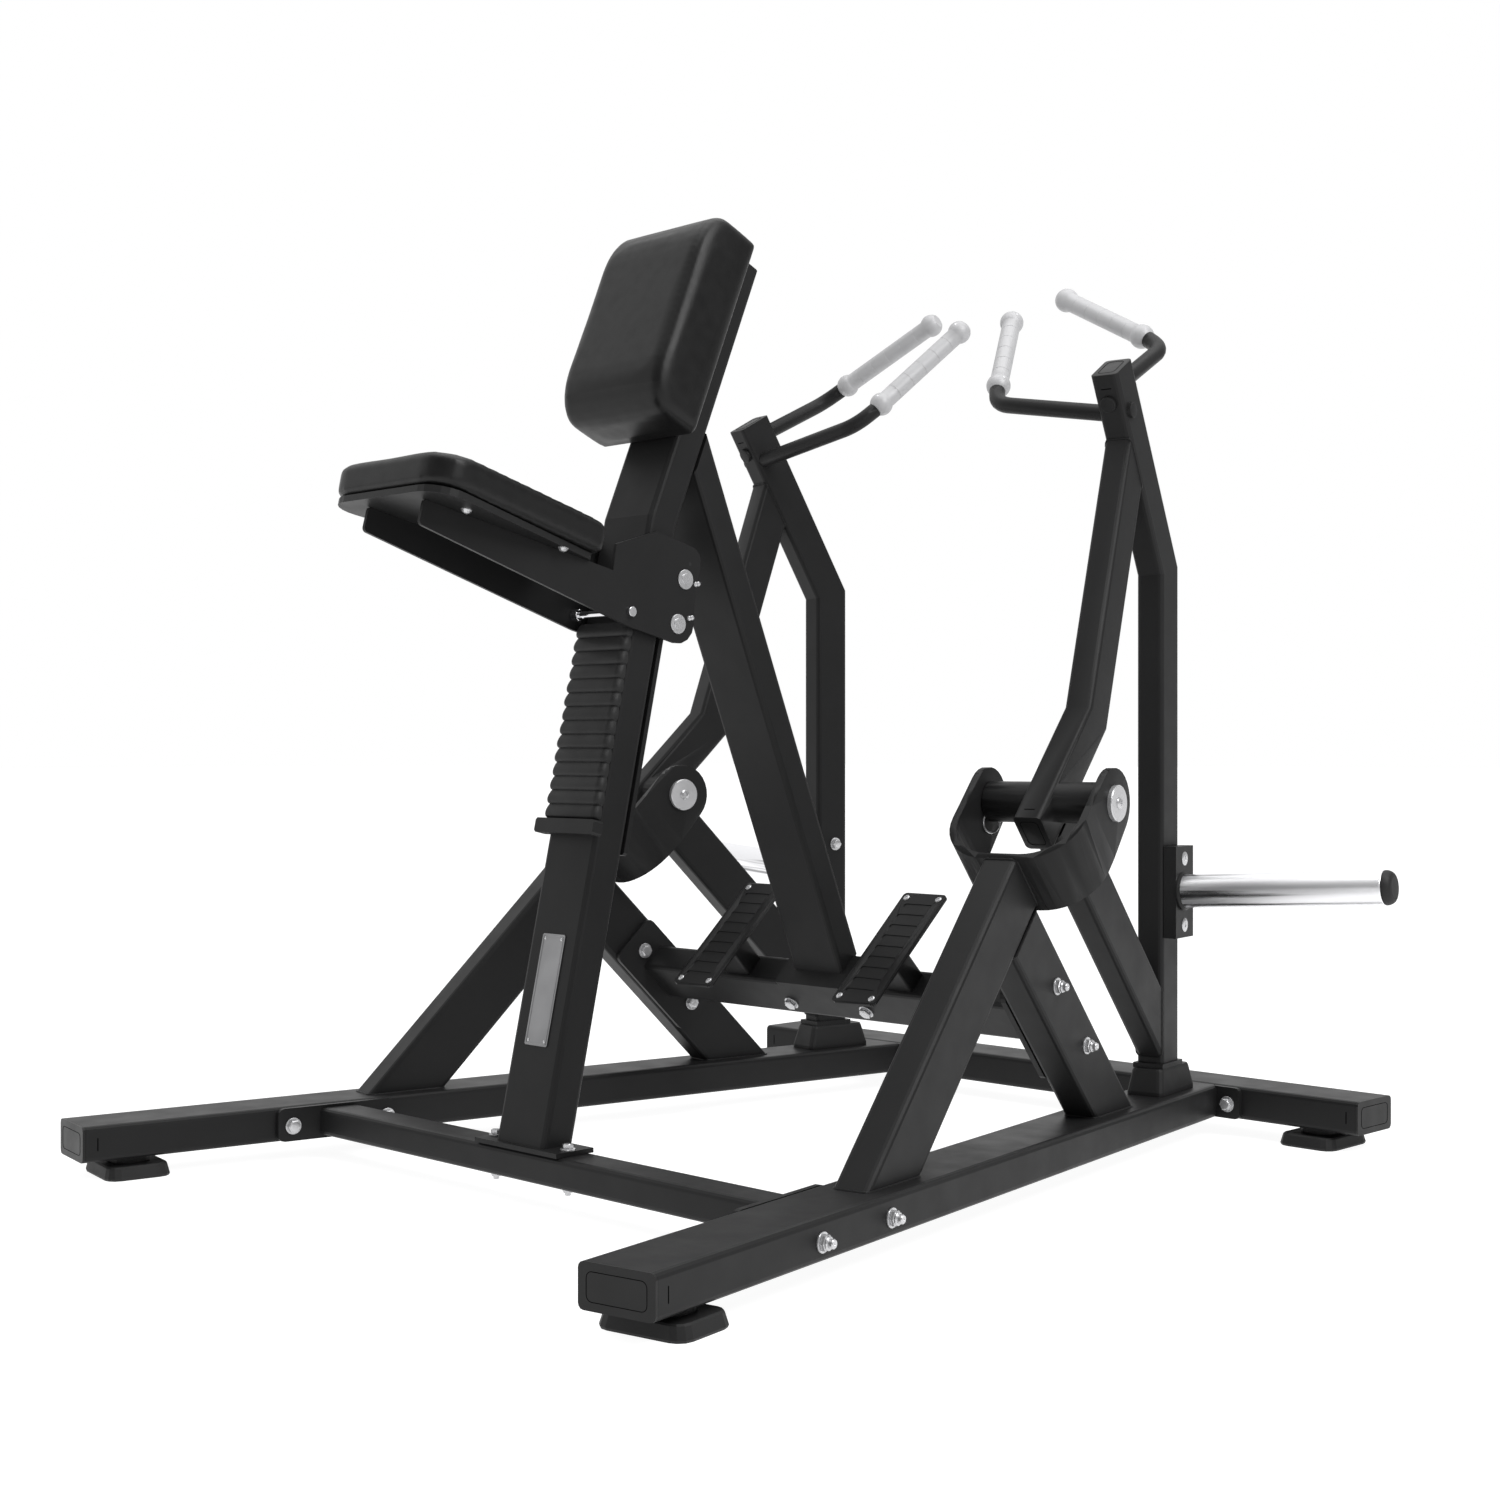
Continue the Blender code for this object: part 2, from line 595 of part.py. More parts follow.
def make_seat_post():
    """Post with one bend, welded to its bolted base plate."""
    bend_front = post_point(POST_LOWER)
    along, ahead = upper_axes()
    low_axis = side_to_yz(1.0, POST_LEAN)
    mitre = (low_axis + along).normalized()
    across = mitre.cross(Vector((1, 0, 0)))
    if across.y < 0:
        across = -across
    half_turn = (POST_UPPER_LEAN - POST_LEAN) / 2
    bend_centre = bend_front + across * (POST_DEPTH / 2 / math.cos(half_turn))
    start = bend_centre - low_axis * (POST_LOWER + 0.02)
    plate_top = ((0, 0, POST_BASE_Z - 0.002), (0, 0, 1))
    post = add_mesh("seat_post",
                    *sweep([start, bend_centre, bend_centre + along * POST_UPPER],
                           rounded_rect(POST_WIDTH, POST_DEPTH), (1, 0, 0),
                           start_cut=plate_top), "frame")
    low = (-0.085, FRONT_TUBE_Y - 0.032, FRONT_TUBE_Z[1] + GAP)
    high = (0.085, FRONT_TUBE_Y + 0.031, POST_BASE_Z)
    combine(post, box(low, high), "UNION", "post_base_weld")


def make_rear_brace():
    """Inclined brace from the mid tube up to the back of the post."""
    face_up = Vector((0, -math.cos(STRUT_ANGLE), math.sin(STRUT_ANGLE)))
    along_face = Vector((0, math.sin(STRUT_ANGLE), math.cos(STRUT_ANGLE)))
    face = Vector((0, MID_TUBE_Y, MID_TUBE_Z)) + face_up * (MID_TUBE_SIZE[0] / 2 + GAP)
    plate_thick = 0.008
    axis = Vector((0, -math.sin(BRACE_LEAN), math.cos(BRACE_LEAN)))
    behind = Vector((0, math.cos(BRACE_LEAN), math.sin(BRACE_LEAN)))
    centre = Vector((0, *BRACE_FRONT)) + behind * (BRACE_DEPTH / 2)
    _, ahead = upper_axes()
    post_rear = post_point(POST_LOWER) - ahead * (POST_DEPTH + 0.0015)
    brace = add_mesh("rear_brace",
                     *sweep([centre, centre + axis * 0.7],
                            rounded_rect(BRACE_WIDTH, BRACE_DEPTH), (1, 0, 0),
                            start_cut=(face + face_up * plate_thick / 2, face_up),
                            end_cut=(post_rear, ahead)), "frame")
    plate = extrude(rounded_rect(0.144, 0.064, 0.006), face, (1, 0, 0), along_face,
                    0.0, plate_thick)
    combine(brace, plate, "UNION", "brace_base_weld")


def make_foot_plate(side, sign):
    """Inclined foot rest on a short tube that stands on the mid cross tube."""
    rise = Vector((0, math.cos(FOOT_PLATE_ANGLE), math.sin(FOOT_PLATE_ANGLE)))
    lower_end = Vector((sign * FOOT_PLATE_X, *FOOT_PLATE_LOW))
    centre = lower_end + rise * (FOOT_PLATE_LENGTH / 2)
    plate = add_mesh(side + "_foot_plate",
                     *extrude(rounded_rect(2 * FOOT_PLATE_HALF, FOOT_PLATE_LENGTH, 0.006),
                              centre, (1, 0, 0), rise, -FOOT_PLATE_THICK, 0.0), "frame")
    top_normal = Vector((1, 0, 0)).cross(rise)
    face_up = Vector((0, -math.cos(STRUT_ANGLE), math.sin(STRUT_ANGLE)))
    foot = Vector((sign * FOOT_PLATE_X, MID_TUBE_Y, MID_TUBE_Z))
    foot += face_up * (MID_TUBE_SIZE[0] / 2 + GAP)
    support = sweep([foot, foot + face_up * 0.05], rounded_rect(*FOOT_SUPPORT, 0.004),
                    (1, 0, 0), end_cut=(lower_end - top_normal * FOOT_PLATE_THICK / 2,
                                        top_normal))
    combine(plate, support, "UNION", side + "_foot_support")


# ---- post fittings --------------------------------------------------------


def on_post(outline, span_middle, behind):
    """Extrude an outline (x, along post) on the post; behind is (near, far) depth."""
    up = side_to_yz(1.0, POST_LEAN)
    return extrude(outline, post_point(span_middle), (1, 0, 0), up, -behind[1], -behind[0])


def make_post_fittings():
    length = STRIP_SPAN[1] - STRIP_SPAN[0]
    middle = sum(STRIP_SPAN) / 2
    near = POST_DEPTH + STRIP_STANDOFF
    strip = add_mesh("guide_strip",
                     *on_post(rounded_rect(0.096, length, 0.003, 1), middle,
                              (near, near + STRIP_THICK)), "frame")
    for k in range(3):
        along = STRIP_SPAN[0] + 0.02 + k * (length - 0.04) / 2
        spacer = on_post(rounded_rect(0.050, 0.020, 0.002, 1), along,
                         (POST_DEPTH + GAP, near + STRIP_THICK / 2))
        combine(strip, spacer, "UNION", "strip_spacer_%d" % k)

    span = COLLAR_SPAN[1] - COLLAR_SPAN[0]
    add_mesh("bellows_collar",
             *on_post(rounded_rect(0.120, span, 0.003, 1), sum(COLLAR_SPAN) / 2,
                      (-0.018, -GAP)), "plastic")
    section = filleted([(-BELLOWS_HALF, -GAP, 0), (-BELLOWS_HALF, -BELLOWS_PROUD, 0.009),
                        (BELLOWS_HALF, -BELLOWS_PROUD, 0.009), (BELLOWS_HALF, -GAP, 0)])
    rings = []
    for along in BELLOWS_SPAN:
        rings.append([post_point(along, behind, x) for x, behind in section])
    add_mesh("bellows", *skin(rings), "rubber")
    span = NAMEPLATE_SPAN[1] - NAMEPLATE_SPAN[0]
    add_mesh("nameplate",
             *on_post(rounded_rect(2 * NAMEPLATE_HALF, span, 0.002, 1),
                      sum(NAMEPLATE_SPAN) / 2, (-0.0013, -GAP)), "steel")


def make_chest_pad():
    along, ahead = upper_axes()
    bend = post_point(POST_LOWER)
    outline = rounded_rect(2 * CHEST_BOARD_HALF, CHEST_BOARD_SPAN[1] - CHEST_BOARD_SPAN[0],
                           0.012)
    middle = bend + along * (sum(CHEST_BOARD_SPAN) / 2)
    add_mesh("chest_board",
             *extrude(outline, middle, (1, 0, 0), along, GAP, GAP + CHEST_BOARD_THICK),
             "plastic")
    near = CHEST_BOARD_THICK + 2 * GAP
    profile = oval_cornered((CHEST_SPAN[0], near), (CHEST_SPAN[1], near + CHEST_THICK),
                            CHEST_CORNERS)
    edge = CHEST_SIDE_RADIUS
    levels = [(CHEST_HALF, edge), (CHEST_HALF - 0.3 * edge, 0.3 * edge),
              (CHEST_HALF - edge, 0.0)]
    levels = [(-x, shrink) for x, shrink in levels] + levels[::-1]
    rings = []
    for x, shrink in levels:
        mid_a = sum(CHEST_SPAN) / 2
        mid_b = near + CHEST_THICK / 2
        ring = []
        for a, b in profile:
            a = mid_a + (a - mid_a) * (1 - shrink / 0.15)
            b = mid_b + (b - mid_b) * (1 - shrink / 0.045)
            ring.append(bend + along * a + ahead * b + Vector((x, 0, 0)))
        rings.append(ring)
    add_mesh("chest_pad", *skin(rings), "vinyl")


# ---- seat carriage --------------------------------------------------------


def seat_axes():
    back = Vector((0, math.cos(SEAT_ANGLE), -math.sin(SEAT_ANGLE)))
    up = Vector((0, math.sin(SEAT_ANGLE), math.cos(SEAT_ANGLE)))
    return back, up


def seat_slab(name, span, halves, low, high, radii, kind, crown=0.0):
    """Slab of the seat: its plan narrows to the rear, with larger front corners."""
    back, up = seat_axes()
    corner = Vector((0, *SEAT_CORNER))
    front, rear = halves
    outline = filleted([(-front, span[0], radii[0]), (front, span[0], radii[0]),
                        (rear, span[1], radii[1]), (-rear, span[1], radii[1])], 6)
    mid = sum(span) / 2
    levels = [(low, crown), (low + crown, 0.0), (high - crown, 0.0), (high, crown)]
    if crown == 0:
        levels = [(low, 0.0), (high, 0.0)]
    rings = []
    for level, shrink in levels:
        ring = []
        for a, b in outline:
            a = a * (1 - shrink / front)
            b = mid + (b - mid) * (1 - shrink / ((span[1] - span[0]) / 2))
            ring.append(corner + Vector((a, 0, 0)) + back * b + up * level)
        rings.append(ring)
    add_mesh(name, *skin(rings), kind, CARRIAGE)


def make_carriage():
    seat_y, seat_z = SEAT_CORNER
    # (y from the arm's front top, z from it, corner radius)
    corners = [(0.0, 0.0, 0.004), (-0.008, -0.031, 0.006), (0.336, -0.1425, 0.0),
               (0.452, -0.169, 0.030), (0.4575, -0.090, 0.0), (0.472, -0.033, 0.020),
               (0.386, -0.0114, 0.0), (0.313, -0.033, 0.0), (0.307, -0.0686, 0.0)]
    outline = filleted([(seat_y + y, seat_z + z, r) for y, z, r in corners])
    for side, sign in (("left", -1), ("right", 1)):
        faces = sorted((sign * CARRIAGE_IN, sign * (CARRIAGE_IN + CARRIAGE_THICK)))
        plate = add_mesh(side + "_carriage_plate",
                         *extrude(outline, (0, 0, 0), (0, 1, 0), (0, 0, 1), *faces),
                         "frame", CARRIAGE)
        hole = turned([(-0.1, LATCH_RADIUS + 0.0004), (0.1, LATCH_RADIUS + 0.0004)],
                      post_point(LATCH_ALONG, -LATCH_AHEAD), (1, 0, 0), (0, 1, 0), 16)
        combine(plate, hole, "DIFFERENCE", side + "_latch_hole", CARRIAGE)
    seat_slab("seat_board", SEAT_BOARD_SPAN, SEAT_BOARD_HALVES, GAP,
              SEAT_BOARD_THICK, (0.038, 0.010), "plastic")
    seat_slab("seat_pad", SEAT_PAD_SPAN, SEAT_PAD_HALVES, SEAT_BOARD_THICK + GAP,
              SEAT_BOARD_THICK + SEAT_PAD_THICK, (0.040, 0.012), "vinyl", 0.007)
    end = CARRIAGE_IN + CARRIAGE_THICK
    head = 0.0068
    profile = [(-end - 0.005, head), (-end - GAP, head), (-end - GAP, LATCH_RADIUS),
               (end + GAP, LATCH_RADIUS), (end + GAP, head), (end + 0.005, head)]
    add_mesh("latch_shaft",
             *turned(profile, post_point(LATCH_ALONG, -LATCH_AHEAD), (1, 0, 0),
                     (0, 1, 0), 16), "steel", CARRIAGE)


def make_rollers():
    """Rear rollers, each turning about its own axis behind the guide strip."""
    behind = POST_DEPTH + STRIP_STANDOFF + STRIP_THICK + ROLLER_RADIUS + GAP
    half = CARRIAGE_IN - 0.001
    for name, along in zip(("upper_roller", "lower_roller"), ROLLER_ALONG):
        axis = empty(name + "_axis", post_point(along, behind), parent=CARRIAGE)
        axis.matrix_parent_inverse = CARRIAGE_WORLD.inverted()
        profile = [(-half, ROLLER_RADIUS - 0.001), (-half + 0.001, ROLLER_RADIUS),
                   (half - 0.001, ROLLER_RADIUS), (half, ROLLER_RADIUS - 0.001)]
        add_mesh(name, *turned(profile, (0, 0, 0), (1, 0, 0), (0, 1, 0)), "plastic", axis)


# ---- swing arms -----------------------------------------------------------


def make_arm(side, pivot, mirrored):
    """Bent arm with its pivot sleeve: from below the pivot up to the upright."""
    low, bend = (Vector((0, s - PIVOT_S, z - PIVOT_Z)) for s, z in ARM_POINTS)
    upper = Vector((0, math.sin(ARM_LEAN), math.cos(ARM_LEAN)))
    front_point, lean_axis, ahead = upright_front()
    arm = add_mesh(side + "_arm_tube",
                   *sweep([low, bend, bend + upper * 0.4],
                          rounded_rect(ARM_WIDTH, ARM_DEPTH), (1, 0, 0),
                          end_cut=(front_point + ahead * GAP, ahead)),
                   "frame", pivot, mirrored)
    sleeve = turned([(-SLEEVE_HALF, SLEEVE_RADIUS), (SLEEVE_HALF, SLEEVE_RADIUS)],
                    (0, 0, 0), (1, 0, 0), (0, 1, 0), 32)
    combine(arm, sleeve, "UNION", side + "_sleeve_weld", pivot, mirrored)
    bore = turned([(-0.1, BORE_RADIUS), (0.1, BORE_RADIUS)], (0, 0, 0), (1, 0, 0), (0, 1, 0),
                  BORE_STEPS)
    combine(arm, bore, "DIFFERENCE", side + "_sleeve_bore", pivot, mirrored)


def upright_front():
    """Point on the leaning front face of an upright, its direction and its normal."""
    lean_axis = Vector((0, -math.sin(UPRIGHT_LEAN), math.cos(UPRIGHT_LEAN)))
    ahead = Vector((0, -math.cos(UPRIGHT_LEAN), -math.sin(UPRIGHT_LEAN)))
    bend = Vector((0, UPRIGHT_S - PIVOT_S, UPRIGHT_BEND_Z - PIVOT_Z))
    return bend + ahead * (ARM_DEPTH / 2), lean_axis, ahead


def make_link(side, pivot, mirrored):
    """Lower link from the arm's underside at the pivot down to the upright's foot."""
    low, bend = (Vector((0, s - PIVOT_S, z - PIVOT_Z)) for s, z in ARM_POINTS)
    arm_axis = (bend - low).normalized()
    under = Vector((0, arm_axis.z, -arm_axis.y))
    offset = LINK_SUM - PIVOT_S - PIVOT_Z
    start = Vector((0, offset / 2, offset / 2))
    fall = Vector((0, 1, -1)).normalized()
    upright_face = UPRIGHT_S - PIVOT_S - ARM_DEPTH / 2 - GAP
    add_mesh(side + "_lower_link",
             *sweep([start, start + fall * 0.45], rounded_rect(ARM_WIDTH, LINK_DEPTH),
                    (1, 0, 0), start_cut=(low + under * (ARM_DEPTH / 2 + GAP), under),
                    end_cut=((0, upright_face, 0), (0, 1, 0))), "frame", pivot, mirrored)


def make_upright(side, pivot, mirrored):
    """Upright with its forward-leaning top and the foot plate that lands on the bumper."""
    bottom = Vector((0, UPRIGHT_S - PIVOT_S, UPRIGHT_BOTTOM - PIVOT_Z))
    bend = Vector((0, UPRIGHT_S - PIVOT_S, UPRIGHT_BEND_Z - PIVOT_Z))
    _, lean_axis, _ = upright_front()
    upright = add_mesh(side + "_upright",
                       *sweep([bottom, bend, bend + lean_axis * UPRIGHT_UPPER],
                              rounded_rect(ARM_WIDTH, ARM_DEPTH), (1, 0, 0)),
                       "frame", pivot, mirrored)
    low = Vector((-0.024, UPRIGHT_S - 0.0365 - PIVOT_S, BUMPER_TOP - PIVOT_Z))
    high = Vector((0.024, UPRIGHT_S + 0.0365 - PIVOT_S, UPRIGHT_BOTTOM - PIVOT_Z + 0.001))
    combine(upright, box(low, high), "UNION", side + "_foot_weld", pivot, mirrored)


def make_weight_sleeve(side, pivot, mirrored):
    """Mounting block on the upright, chrome plate sleeve and its end cap."""
    inner = ARM_WIDTH / 2 + GAP
    low = (inner, BLOCK_S[0] - PIVOT_S, BLOCK_Z[0] - PIVOT_Z)
    high = (inner + BLOCK_THICK, BLOCK_S[1] - PIVOT_S, BLOCK_Z[1] - PIVOT_Z)
    add_mesh(side + "_sleeve_block", *box(low, high), "frame", pivot, mirrored)
    axis = Vector((math.cos(WEIGHT_SLEEVE_TILT), 0, math.sin(WEIGHT_SLEEVE_TILT)))
    face = high[0] + GAP
    root = Vector((face, UPRIGHT_S - PIVOT_S, WEIGHT_SLEEVE_Z - PIVOT_Z))
    section = circle(WEIGHT_SLEEVE_RADIUS, 32)
    add_mesh(side + "_weight_sleeve",
             *sweep([root, root + axis * WEIGHT_SLEEVE_LENGTH], section, (0, 1, 0),
                    start_cut=(root, (1, 0, 0))), "chrome", pivot, mirrored)
    radius = WEIGHT_SLEEVE_RADIUS + 0.0002
    profile = [(GAP, radius - 0.0005), (0.0015, radius), (0.0055, radius - 0.001),
               (0.0105, radius - 0.0045), (SLEEVE_CAP_LENGTH, radius - 0.0085)]
    add_mesh(side + "_sleeve_cap",
             *turned(profile, root + axis * WEIGHT_SLEEVE_LENGTH, axis, (0, 1, 0), 32),
             "rubber", pivot, mirrored)


def bent_path(start, bend, end, radius, steps=7):
    """Straight, arc, straight: the arc of the radius joins the two lines."""
    start, bend, end = Vector(start), Vector(bend), Vector(end)
    back = (start - bend).normalized()
    ahead = (end - bend).normalized()
    half = back.angle(ahead) / 2
    trim = min(radius / math.tan(half), (end - bend).length * 0.98)
    radius = trim * math.tan(half)
    centre = bend + (back + ahead).normalized() * (radius / math.sin(half))
    first = bend + back * trim - centre
    last = bend + ahead * trim - centre
    turn = first.angle(last)
    points = [start]
    for step in range(steps + 1):
        share = step / steps
        points.append(centre + (first * math.sin((1 - share) * turn)
                                + last * math.sin(share * turn)) / math.sin(turn))
    points.append(end)
    return points


def make_handle(side, which, points, pivot, mirrored):
    """Bent handle tube and the ball-ended grip on its end."""
    start, bend, low, high = (Vector(p) for p in in_pivot_frame(points))
    grip_axis = (high - low).normalized()
    tube_end = low - grip_axis * (BALL_FLAT + GAP)
    if which == "inner":
        face = (start, (-1, 0, 0))
    else:
        front, _, ahead = upright_front()
        face = (front - ahead * (ARM_DEPTH + GAP), ahead)
    path = bent_path(start, bend, tube_end, HANDLE_BEND)
    add_mesh("%s_%s_handle" % (side, which),
             *sweep(path, circle(HANDLE_RADIUS, 16), (0, 1, 0.3), start_cut=face,
                    end_cut=(tube_end, grip_axis)),
             "frame", pivot, mirrored)
    length = (high - low).length
    profile = []
    first = -math.asin(BALL_FLAT / BALL_RADIUS)
    last = math.acos(GRIP_RADIUS / BALL_RADIUS)
    for k in range(6):
        angle = first + (last - first) * k / 5
        profile.append((BALL_RADIUS * math.sin(angle), BALL_RADIUS * math.cos(angle)))
    profile += [(length - along, radius) for along, radius in reversed(profile)]
    add_mesh("%s_%s_grip" % (side, which),
             *turned(profile, low, grip_axis, (0, 1, 0.3), 20), "grip", pivot, mirrored)


# ---- build ----------------------------------------------------------------

clear_scene()
CARRIAGE_WORLD = Matrix.Identity(4)
CARRIAGE = empty("seat_carriage_frame", (0, 0, 0))

make_rear_tube()
make_front_tube()
make_mid_tube()
make_seat_post()
make_rear_brace()
make_post_fittings()
make_chest_pad()
make_carriage()
make_rollers()
for name, mirror in (("left", True), ("right", False)):
    direction = -1 if mirror else 1
    side_frame = empty(name + "_side_frame", (direction * RAIL_FRONT_X, RAIL_FRONT_Y, 0),
                       direction * SPLAY)
    make_rail(name, side_frame, mirror)
    make_struts(name, side_frame, mirror)
    make_bracket(name, side_frame, mirror)
    make_axle(name, side_frame, mirror)
    make_bumper(name, side_frame, mirror)
    make_rubber_foot("front_%s_foot" % name, *RUBBER_FOOT, side_frame,
                     (0, RUBBER_FOOT_S), mirror)
    make_rubber_foot("rear_%s_foot" % name, RUBBER_FOOT[1], RUBBER_FOOT[0], None,
                     (direction * RUBBER_FOOT_X, REAR_TUBE_Y))
    make_foot_plate(name, direction)
    pivot_frame = empty(name + "_arm_pivot", (0, PIVOT_S, PIVOT_Z), parent=side_frame)
    make_arm(name, pivot_frame, mirror)
    make_link(name, pivot_frame, mirror)
    make_upright(name, pivot_frame, mirror)
    make_weight_sleeve(name, pivot_frame, mirror)
    make_handle(name, "inner", INNER_HANDLE, pivot_frame, mirror)
    make_handle(name, "outer", OUTER_HANDLE, pivot_frame, mirror)
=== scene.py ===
"""Looks of the plate-loaded seated row: finishes, pads, bellows, grips and fasteners.

Everything is in metres in the row frame (+X the user's right, +Y the weight end, +Z up).
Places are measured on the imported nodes; only small trim sizes are stated here.
"""
import json
import math

import bmesh
import bpy
import numpy as np
from mathutils import Matrix, Vector
from mathutils.bvhtree import BVHTree


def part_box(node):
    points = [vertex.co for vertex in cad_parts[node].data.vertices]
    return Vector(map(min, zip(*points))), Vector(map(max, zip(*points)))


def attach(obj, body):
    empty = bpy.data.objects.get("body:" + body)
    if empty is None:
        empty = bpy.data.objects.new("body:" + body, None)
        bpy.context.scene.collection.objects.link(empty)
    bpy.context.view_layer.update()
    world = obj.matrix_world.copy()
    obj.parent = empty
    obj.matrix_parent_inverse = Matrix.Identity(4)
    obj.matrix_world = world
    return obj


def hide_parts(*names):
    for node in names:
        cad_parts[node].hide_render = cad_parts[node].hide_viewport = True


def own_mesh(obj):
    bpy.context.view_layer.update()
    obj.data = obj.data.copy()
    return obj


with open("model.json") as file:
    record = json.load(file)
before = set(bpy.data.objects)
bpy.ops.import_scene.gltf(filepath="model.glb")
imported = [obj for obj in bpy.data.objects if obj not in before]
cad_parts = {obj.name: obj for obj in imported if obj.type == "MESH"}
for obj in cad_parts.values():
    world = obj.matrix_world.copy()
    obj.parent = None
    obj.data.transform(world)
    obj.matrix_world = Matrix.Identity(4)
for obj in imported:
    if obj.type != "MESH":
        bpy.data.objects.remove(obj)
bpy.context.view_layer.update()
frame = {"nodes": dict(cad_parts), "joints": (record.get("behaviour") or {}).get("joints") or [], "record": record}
NODES = frame["nodes"]
JOINTS = {joint["name"]: joint for joint in frame["joints"]}
UP = Vector((0, 0, 1))
RIGHT = Vector((1, 0, 0))
REAR = Vector((0, 1, 0))

# ---- measuring the frame ----


def points_of(node):
    """The node's vertices as an array, in the row frame."""
    return places(NODES[node].data)


def places(mesh, what="co"):
    """A mesh's vertices, or their normals, as an array."""
    flat = np.zeros(len(mesh.vertices) * 3)
    mesh.vertices.foreach_get(what, flat)
    return flat.reshape(-1, 3)


def reach(points, axis):
    """Lowest and highest reach of some points along an axis."""
    values = points @ np.array(axis)
    return float(values.min()), float(values.max())


def extent(points, axis):
    """How far some points spread along an axis."""
    low, high = reach(points, axis)
    return high - low


def span(node, axis):
    """Lowest and highest reach of a node along an axis."""
    return reach(points_of(node), axis)


def middle(node, axis):
    """Reach of a node's middle along an axis."""
    return sum(span(node, axis)) / 2


def slab(node, axis, low, high):
    """The node's points whose reach along the axis lies between two values."""
    points = points_of(node)
    values = points @ np.array(axis)
    return points[(values >= low) & (values <= high)]


def centre_of(node):
    """Middle of a node's box."""
    low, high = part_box(node)
    return (low + high) / 2


def at(axes, values):
    """Point whose reach along each of three perpendicular axes is the given value."""
    return sum((Vector(a) * v for a, v in zip(axes, values)), Vector())


TREES = {}


def tree_of(node):
    """Search tree over the node's faces, built once."""
    if node not in TREES:
        mesh = NODES[node].data
        TREES[node] = BVHTree.FromPolygons([v.co for v in mesh.vertices],
                                           [p.vertices for p in mesh.polygons])
    return TREES[node]


def touch(node, start, direction):
    """Where a line from the start meets the node, and the face's normal there."""
    point, normal, _, _ = tree_of(node).ray_cast(start, Vector(direction).normalized())
    return point, normal


class Side:
    """One side of the machine: outward, rearward and upward axes of its rail."""

    def __init__(self, name):
        joint = JOINTS[name + "_arm_swing"]
        self.name = name
        self.sign = 1 if name == "right" else -1
        self.out = Vector(joint["axis"]).normalized() * self.sign
        self.back = Vector((-self.sign * self.out.y, self.sign * self.out.x, 0))
        self.axes = (self.out, self.back, UP)
        self.pivot = Vector(joint["pos_m"])
        self.arm = name + "_arm"

    def node(self, part):
        """Full name of one of this side's nodes or pieces."""
        return self.name + "_" + part

    def span(self, part, axis):
        """Lowest and highest reach of one of this side's nodes."""
        return span(self.node(part), axis)

    def add(self, piece, name, slot, body="frame", **more):
        """Place a piece of this side, on the frame unless a body is named."""
        piece.place(self.node(name), slot, body, **more)


SIDES = [Side("left"), Side("right")]
POST_UP = Vector(JOINTS["seat_slide"]["axis"]).normalized()
POST_AHEAD = Vector((0, -POST_UP.z, POST_UP.y))

# ---- materials ----


def new_material(name):
    """A material, its node tree and its main shader."""
    mat = bpy.data.materials.new(name)
    mat.use_nodes = True
    return mat, mat.node_tree, mat.node_tree.nodes["Principled BSDF"]


def add_node(tree, kind, **settings):
    """Shader node; in_Name settings go to its inputs, the others to the node itself."""
    node = tree.nodes.new("ShaderNode" + kind)
    for key, value in settings.items():
        if key.startswith("in_"):
            node.inputs[key[3:].replace("_", " ")].default_value = value
        else:
            setattr(node, key, value)
    return node


def set_inputs(node, values):
    """Set several inputs of a node."""
    for key, value in values.items():
        node.inputs[key].default_value = value


def noise(tree, scale, detail=3.0, stretch=None):
    """Noise over the piece's own coordinates, in metres; stretch draws it out."""
    coords = add_node(tree, "TexCoord")
    vector = coords.outputs["Object"]
    if stretch:
        mapping = add_node(tree, "Mapping", in_Scale=stretch)
        tree.links.new(vector, mapping.inputs["Vector"])
        vector = mapping.outputs["Vector"]
    texture = add_node(tree, "TexNoise", in_Scale=scale, in_Detail=detail)
    tree.links.new(vector, texture.inputs["Vector"])
    return texture.outputs["Fac"]


def cells(tree, scale):
    """Distance to the nearest cell centre: small pebbles."""
    coords = add_node(tree, "TexCoord")
    texture = add_node(tree, "TexVoronoi", in_Scale=scale)
    tree.links.new(coords.outputs["Object"], texture.inputs["Vector"])
    return texture.outputs["Distance"]


def ramp(tree, source, low, high, start=0.3, end=0.7):
    """Spread a value between two colours or two numbers."""
    node = add_node(tree, "ValToRGB")
    node.color_ramp.elements[0].position = start
    node.color_ramp.elements[1].position = end
    for element, value in zip(node.color_ramp.elements, (low, high)):
        color = value if isinstance(value, tuple) else (value, value, value)
        element.color = (*color, 1.0)
    tree.links.new(source, node.inputs["Fac"])
    return node.outputs["Color"]


def bump(tree, shader, source, strength, distance, below=None):
    """Fine relief on a shader, on top of any relief below."""
    node = add_node(tree, "Bump", in_Strength=strength, in_Distance=distance)
    tree.links.new(source, node.inputs["Height"])
    if below is not None:
        tree.links.new(below, node.inputs["Normal"])
    tree.links.new(node.outputs["Normal"], shader.inputs["Normal"])
    return node.outputs["Normal"]


def grey(value):
    """Grey with a trace of blue."""
    return (value, value, value * 1.02)


def clouded(tree, shader, shades, shade_scale, rough, rough_scale):
    """Cloudy grey and cloudy roughness, each between two values."""
    tree.links.new(ramp(tree, noise(tree, shade_scale), *map(grey, shades)),
                   shader.inputs["Base Color"])
    tree.links.new(ramp(tree, noise(tree, rough_scale), *rough), shader.inputs["Roughness"])


